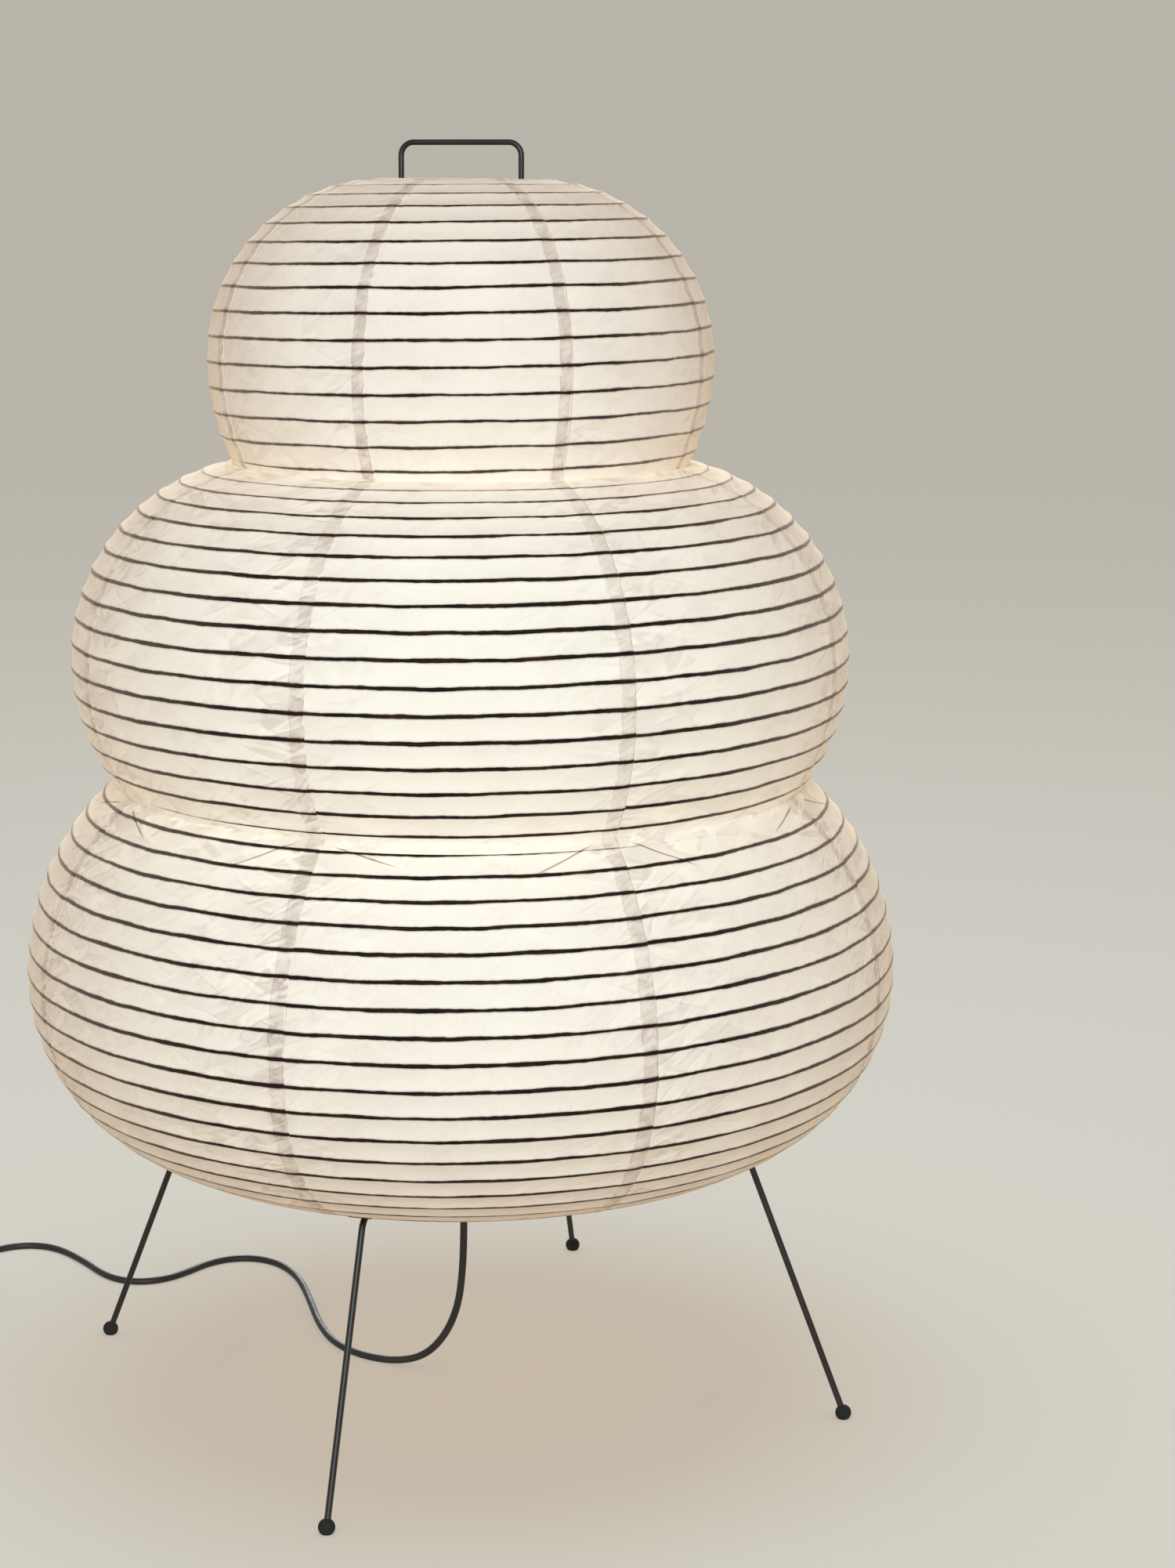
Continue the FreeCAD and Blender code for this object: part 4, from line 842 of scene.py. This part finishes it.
def paper_finish():
    """The steps above, put together."""
    tree, shader, material = new_finish("lit_mulberry_paper", Roughness=0.9, Specular_IOR_Level=0.2,
                                        Emission_Strength=GLOW_STRENGTH, Sheen_Weight=0.6,
                                        Sheen_Roughness=0.4, Sheen_Tint=linear("#DCC3A8"))
    add = partial(add_node, tree)
    sheet = add("UVMap", uv_map="sheet").outputs[0]
    hoop, seam, dart, light = (add("Attribute", attribute_name=name).outputs["Fac"]
                               for name in ("hoop", "seam", "dart", "light"))
    line, fringe, off = strip_shadows(add, sheet)
    # The hoops behind the paper throw a painted shadow line as the bamboo does, and the darker of the two is
    # used
    from_hoop = add("Math", {0: hoop}, operation="ABSOLUTE")
    hoop_shadow = add("MapRange", {0: from_hoop, 1: 2.3, 2: 1.6})
    dark = add("Math", {0: line, 1: hoop_shadow}, operation="MAXIMUM")

    # Light held back by seams, which drown in bright paper, by fibres and by the folds under the waist
    drowned = add("MapRange", {0: light, 3: 1.05, 4: 0.55})
    loss = add("Math", {0: pasted_seams(add, sheet, seam, off), 1: drowned}, operation="MULTIPLY")
    loss = add("Math", {0: fibrous(add, sheet), 1: FIBRE_LOSS, 2: loss}, operation="MULTIPLY_ADD")
    from_dart = add("Math", {0: dart}, operation="ABSOLUTE")
    fold = add("MapRange", {0: from_dart, 1: 0.8, 2: 0.3})
    begun = add("MapRange", {0: seam, 1: 12.0, 2: 20.0, 3: 0.0, 4: FOLD_LOSS})
    ended = add("MapRange", {0: seam, 1: 62.0, 2: 48.0})
    lasting = add("Math", {0: begun, 1: ended}, operation="MULTIPLY")
    loss = add("Math", {0: fold, 1: lasting, 2: loss}, operation="MULTIPLY_ADD")
    # The fringe beside the bamboo's line is painted shade, held back from the glow and the colour
    loss = add("Math", {0: fringe, 1: FRINGE_LOSS, 2: loss}, operation="MULTIPLY_ADD")
    crease = creased(add, sheet)
    turned_away = add("MapRange", {0: crease, 1: 0.0, 2: -1.0, 3: 0.0, 4: CREASE_LOSS})
    loss = add("Math", {0: loss, 1: turned_away}, operation="ADD")
    tint = add("Mix", {0: loss, 6: (1, 1, 1, 1), 7: LOST_LIGHT}, data_type="RGBA")
    shading = add("MapRange", {0: crease, 3: 1.0, 4: 1.0 + CREASE_GAIN})
    tint = add("Mix", {0: 1.0, 6: tint, 7: shading}, data_type="RGBA", blend_type="MULTIPLY")

    # Light that reaches the paper, with a slow drift in its thickness
    cloud = add("TexNoise", {"Vector": sheet, "Scale": 1 / (70 * mm), "Detail": 3.0}, noise_dimensions="2D")
    drift = add("MapRange", {0: cloud, 1: 0.3, 2: 0.7, 3: -0.16, 4: 0.16})
    reach = add("Math", {0: light, 1: drift}, operation="ADD", use_clamp=True)
    glow = add("Mix", {0: reach, 6: GLOW_FAR, 7: GLOW_NEAR}, data_type="RGBA")
    dimmed = add("Mix", {0: 1.0, 6: glow, 7: tint}, data_type="RGBA", blend_type="MULTIPLY")
    shadowed = add("Mix", {0: dark, 6: dimmed, 7: (0, 0, 0, 1)}, data_type="RGBA")

    # The paper's own colour with the painted shade and highlight of the tint, and the painted shadow's
    # streaked colour where the bamboo's line is
    shadow_streak_place = add("Mapping", {0: sheet, 3: (1 / (30 * mm), 1 / (0.8 * mm), 1)})
    grain = add("TexNoise", {"Vector": shadow_streak_place, "Scale": 1.0, "Detail": 2.0}, noise_dimensions="2D")
    streak = add("MapRange", {0: grain, 1: 0.45, 2: 0.7})
    strip = add("Mix", {0: streak, 6: STRIP_SHADOW_DARK, 7: STRIP_SHADOW_BROWN}, data_type="RGBA")
    paper_with_painted_shade = add("Mix", {0: 1.0, 6: PAPER_WHITE, 7: tint}, data_type="RGBA", blend_type="MULTIPLY")
    face = add("Mix", {0: dark, 6: paper_with_painted_shade, 7: strip}, data_type="RGBA")

    bump = add("Bump", {"Height": crease, "Strength": 0.4, "Distance": 0.6 * mm})
    feed(tree, shader, {"Emission Color": shadowed, "Base Color": face, "Normal": bump})
    return material


paper = paper_finish()
paper.cycles.emission_sampling = "NONE"
for piece in gores:
    piece.data.materials.append(paper)
print("paper finish with", len(paper.node_tree.nodes), "nodes")

# %% [markdown]
# ## Finishes of the other pieces
# Metal, plastic, rubber and glass get their look from how they were made: enamel flows into a slightly
# uneven coat, plating is fine-grained, moulded plastic and rubber take the texture of their mould. One
# function mixes two close colours in patches of a given size, varies the roughness with them and raises a
# fine grain.

# %% Plain finishes
def surface(name, first, second, patch, roughness, grain, raised, **sockets):
    """A finish of two close colours. Patch and grain are the sizes of its patches and its grain, and raised
    is how far the grain stands up, all in mm."""
    tree, shader, material = new_finish(name, **sockets)
    add = partial(add_node, tree)
    place = add("TexCoord").outputs["Object"]
    patches = add("TexNoise", {"Vector": place, "Scale": 1 / (patch * mm), "Detail": 4.0})
    share = add("MapRange", {0: patches, 1: 0.3, 2: 0.7})
    colour = add("Mix", {0: share, 6: linear(first), 7: linear(second)}, data_type="RGBA")
    rough = add("MapRange", {0: share, 3: roughness[0], 4: roughness[1]})
    fine = add("TexNoise", {"Vector": place, "Scale": 1 / (grain * mm), "Detail": 3.0})
    bump = add("Bump", {"Height": fine, "Strength": 0.4, "Distance": raised * mm})
    feed(tree, shader, {"Base Color": colour, "Roughness": rough, "Normal": bump})
    return material


FINISHES = {
    # Split bamboo, scraped and dried: pale brown with darker streaks, waxy on its outer side
    "bamboo": surface("split_bamboo", "#8A6236", "#5E3F20", 6, (0.45, 0.65), 0.6, 0.08),
    # Steel wire dipped in black enamel: a soft sheen, uneven where the coat ran
    "black_wire": surface("black_enamel_on_steel_wire", "#15110E", "#2A231E", 14, (0.32, 0.5), 1.1, 0.04,
                          IOR=1.5),
    # Moulded rubber: dull, with a fine texture and a little dust
    "rubber": surface("moulded_rubber", "#100F0F", "#1F1D1C", 5, (0.75, 0.9), 0.5, 0.05),
    # Steel with a zinc coat: grey, fine-grained, with faint darker patches
    "steel": surface("zinc_plated_steel", "#A6A7A9", "#98999C", 4, (0.28, 0.42), 0.4, 0.02, Metallic=1.0),
    # ABS from a spark-eroded mould: black and matt, with a leathery fine grain
    "black_plastic": surface("moulded_black_abs", "#171615", "#211F1E", 12, (0.5, 0.62), 0.7, 0.05, IOR=1.54),
    # PVC sheath, extruded: smooth along the cord, with slow changes in sheen
    "cord_sheath": surface("extruded_black_pvc", "#191614", "#2A2521", 18, (0.42, 0.58), 1.6, 0.03, IOR=1.53),
    # Porcelain under a clear glaze
    "porcelain": surface("glazed_porcelain", "#EFEBE2", "#E3DED2", 9, (0.12, 0.2), 2.5, 0.02, IOR=1.52),
    # Brass, stamped and lightly tarnished
    "brass": surface("stamped_brass", "#C9A24E", "#A57E36", 5, (0.25, 0.42), 0.5, 0.02, Metallic=1.0),
    # Opal glass of the lit bulb: milky, and bright from inside
    "bulb_opal": surface("lit_opal_glass", "#FFF6E6", "#FBEFDA", 25, (0.1, 0.16), 3, 0.01, IOR=1.5,
                         Emission_Color=linear("#FFE2B4"), Emission_Strength=0.5),
    # Clear glass inside the bulb
    "bulb_clear": surface("clear_lead_glass", "#F4F6F3", "#E9EDEA", 8, (0.03, 0.06), 2, 0.01, IOR=1.55,
                          Transmission_Weight=0.9),
    # Black glass that closes the bulb's cap
    "black_glass": surface("black_vitrite_glass", "#0C0C10", "#16161B", 5, (0.08, 0.15), 1, 0.01, IOR=1.55),
    # Drawn wire, hot and pale
    "filament": surface("drawn_tungsten_wire", "#8C857B", "#6E675E", 2, (0.3, 0.45), 0.3, 0.01, Metallic=1.0),
}
SLOT_OF = {row["node"]: row["material_slot"] for row in frame["record"]["subparts"]}
for name, node in nodes.items():
    if SLOT_OF[name] in FINISHES:
        node.data.materials.clear()
        node.data.materials.append(FINISHES[SLOT_OF[name]])
for piece in strips:
    piece.data.materials.append(FINISHES["bamboo"])
bulb.data.materials.append(FINISHES["bulb_opal"])
curve.materials.append(FINISHES["cord_sheath"])
print(len(FINISHES) + 1, "finishes")

# %% [markdown]
# ## Floor and light
# The lamp stands on a very large, plain, pale disc, and the world behind it shows the colour of the far
# floor, so no horizon is seen. Both are lifted where they are seen, straight or mirrored, which makes them
# pale without more light on the lamp. The light is soft: an even world, a large lamp in front, one behind,
# weak ones at the sides. They would draw the edge of their light on the floor, so light linking keeps them
# off it, and one lamp overhead lights the floor and throws the soft shadow.

# %% Floor and world
FLOOR_R = 80.0
FLOOR_CORNERS = 96
FLOOR_COLOUR = linear("#C4BFB4")
WORLD_LEVEL = 0.18
PALE_LIFT = 0.7


def backdrop_rays(add):
    """1 for the rays that show the backdrop: those from the camera, and those mirrored or bent by a piece."""
    path = add("LightPath")
    seen = add("Math", {0: path.outputs["Is Camera Ray"], 1: path.outputs["Is Glossy Ray"]},
               operation="MAXIMUM")
    return add("Math", {0: seen, 1: path.outputs["Is Transmission Ray"]}, operation="MAXIMUM")


around = np.linspace(0, 2 * math.pi, FLOOR_CORNERS, endpoint=False)
disc = np.stack([FLOOR_R * np.cos(around), FLOOR_R * np.sin(around), 0 * around], -1)
floor = new_piece("floor", disc, [list(range(FLOOR_CORNERS))], [False])
tree, shader, floor_finish = new_finish("pale_floor", Base_Color=FLOOR_COLOUR, Roughness=0.7,
                                        Specular_IOR_Level=0.0, Emission_Color=FLOOR_COLOUR)
add = partial(add_node, tree)
lift = add("Math", {0: backdrop_rays(add), 1: PALE_LIFT}, operation="MULTIPLY")
feed(tree, shader, {"Emission Strength": lift})
floor.data.materials.append(floor_finish)

world = bpy.data.worlds.new("studio")
bpy.context.scene.world = world
world.use_nodes = True
tree = world.node_tree
add = partial(add_node, tree)
seen = backdrop_rays(add)
sky = add("Mix", {0: seen, 6: (1, 1, 1, 1), 7: FLOOR_COLOUR}, data_type="RGBA")
level = add("MapRange", {0: seen, 3: WORLD_LEVEL, 4: WORLD_LEVEL + PALE_LIFT})
feed(tree, tree.nodes["Background"], {"Color": sky, "Strength": level})
print("floor", FLOOR_R, "m")

# %% Lamps
DAYLIGHT = linear("#E4F3FF")
# Place, size and power of each lamp
LAMPS = {"front": ((0.85, -2.7, 1.5), 1.4, 66.0), "back": ((-0.85, 2.7, 1.5), 1.4, 58.0),
         "right": ((2.6, 0.85, 1.8), 1.8, 5.0), "left": ((-2.6, -0.85, 1.8), 1.8, 5.0),
         "floor": ((0.0, 0.0, 3.6), 3.0, 60.0)}
LAMP_AIM = Vector((0, 0, 0.5))


def lit_pieces(name, state):
    """What a lamp lights: the floor alone, or all but the floor."""
    lit = bpy.data.collections.new(name)
    lit.objects.link(floor)
    lit.collection_objects[0].light_linking.link_state = state
    return lit


floor_alone, lantern_alone = lit_pieces("floor_alone", "INCLUDE"), lit_pieces("lantern_alone", "EXCLUDE")
for name, (place, size, power) in LAMPS.items():
    lamp = bpy.data.objects.new(name + "_lamp", bpy.data.lights.new(name, "AREA"))
    bpy.context.collection.objects.link(lamp)
    lamp.data.size = size
    lamp.data.energy = power
    lamp.data.color = DAYLIGHT[:3]
    lamp.location = place
    lamp.rotation_euler = (LAMP_AIM - Vector(place)).to_track_quat("-Z", "Y").to_euler()
    lamp.light_linking.receiver_collection = floor_alone if name == "floor" else lantern_alone
print(len(LAMPS), "lamps")

# %% [markdown]
# ## Finish
# The view layer is brought up to date once every piece is in place. The finished pieces have to
# fill the imported model's box.

# %% Bring the scene up to date
bpy.context.view_layer.update()
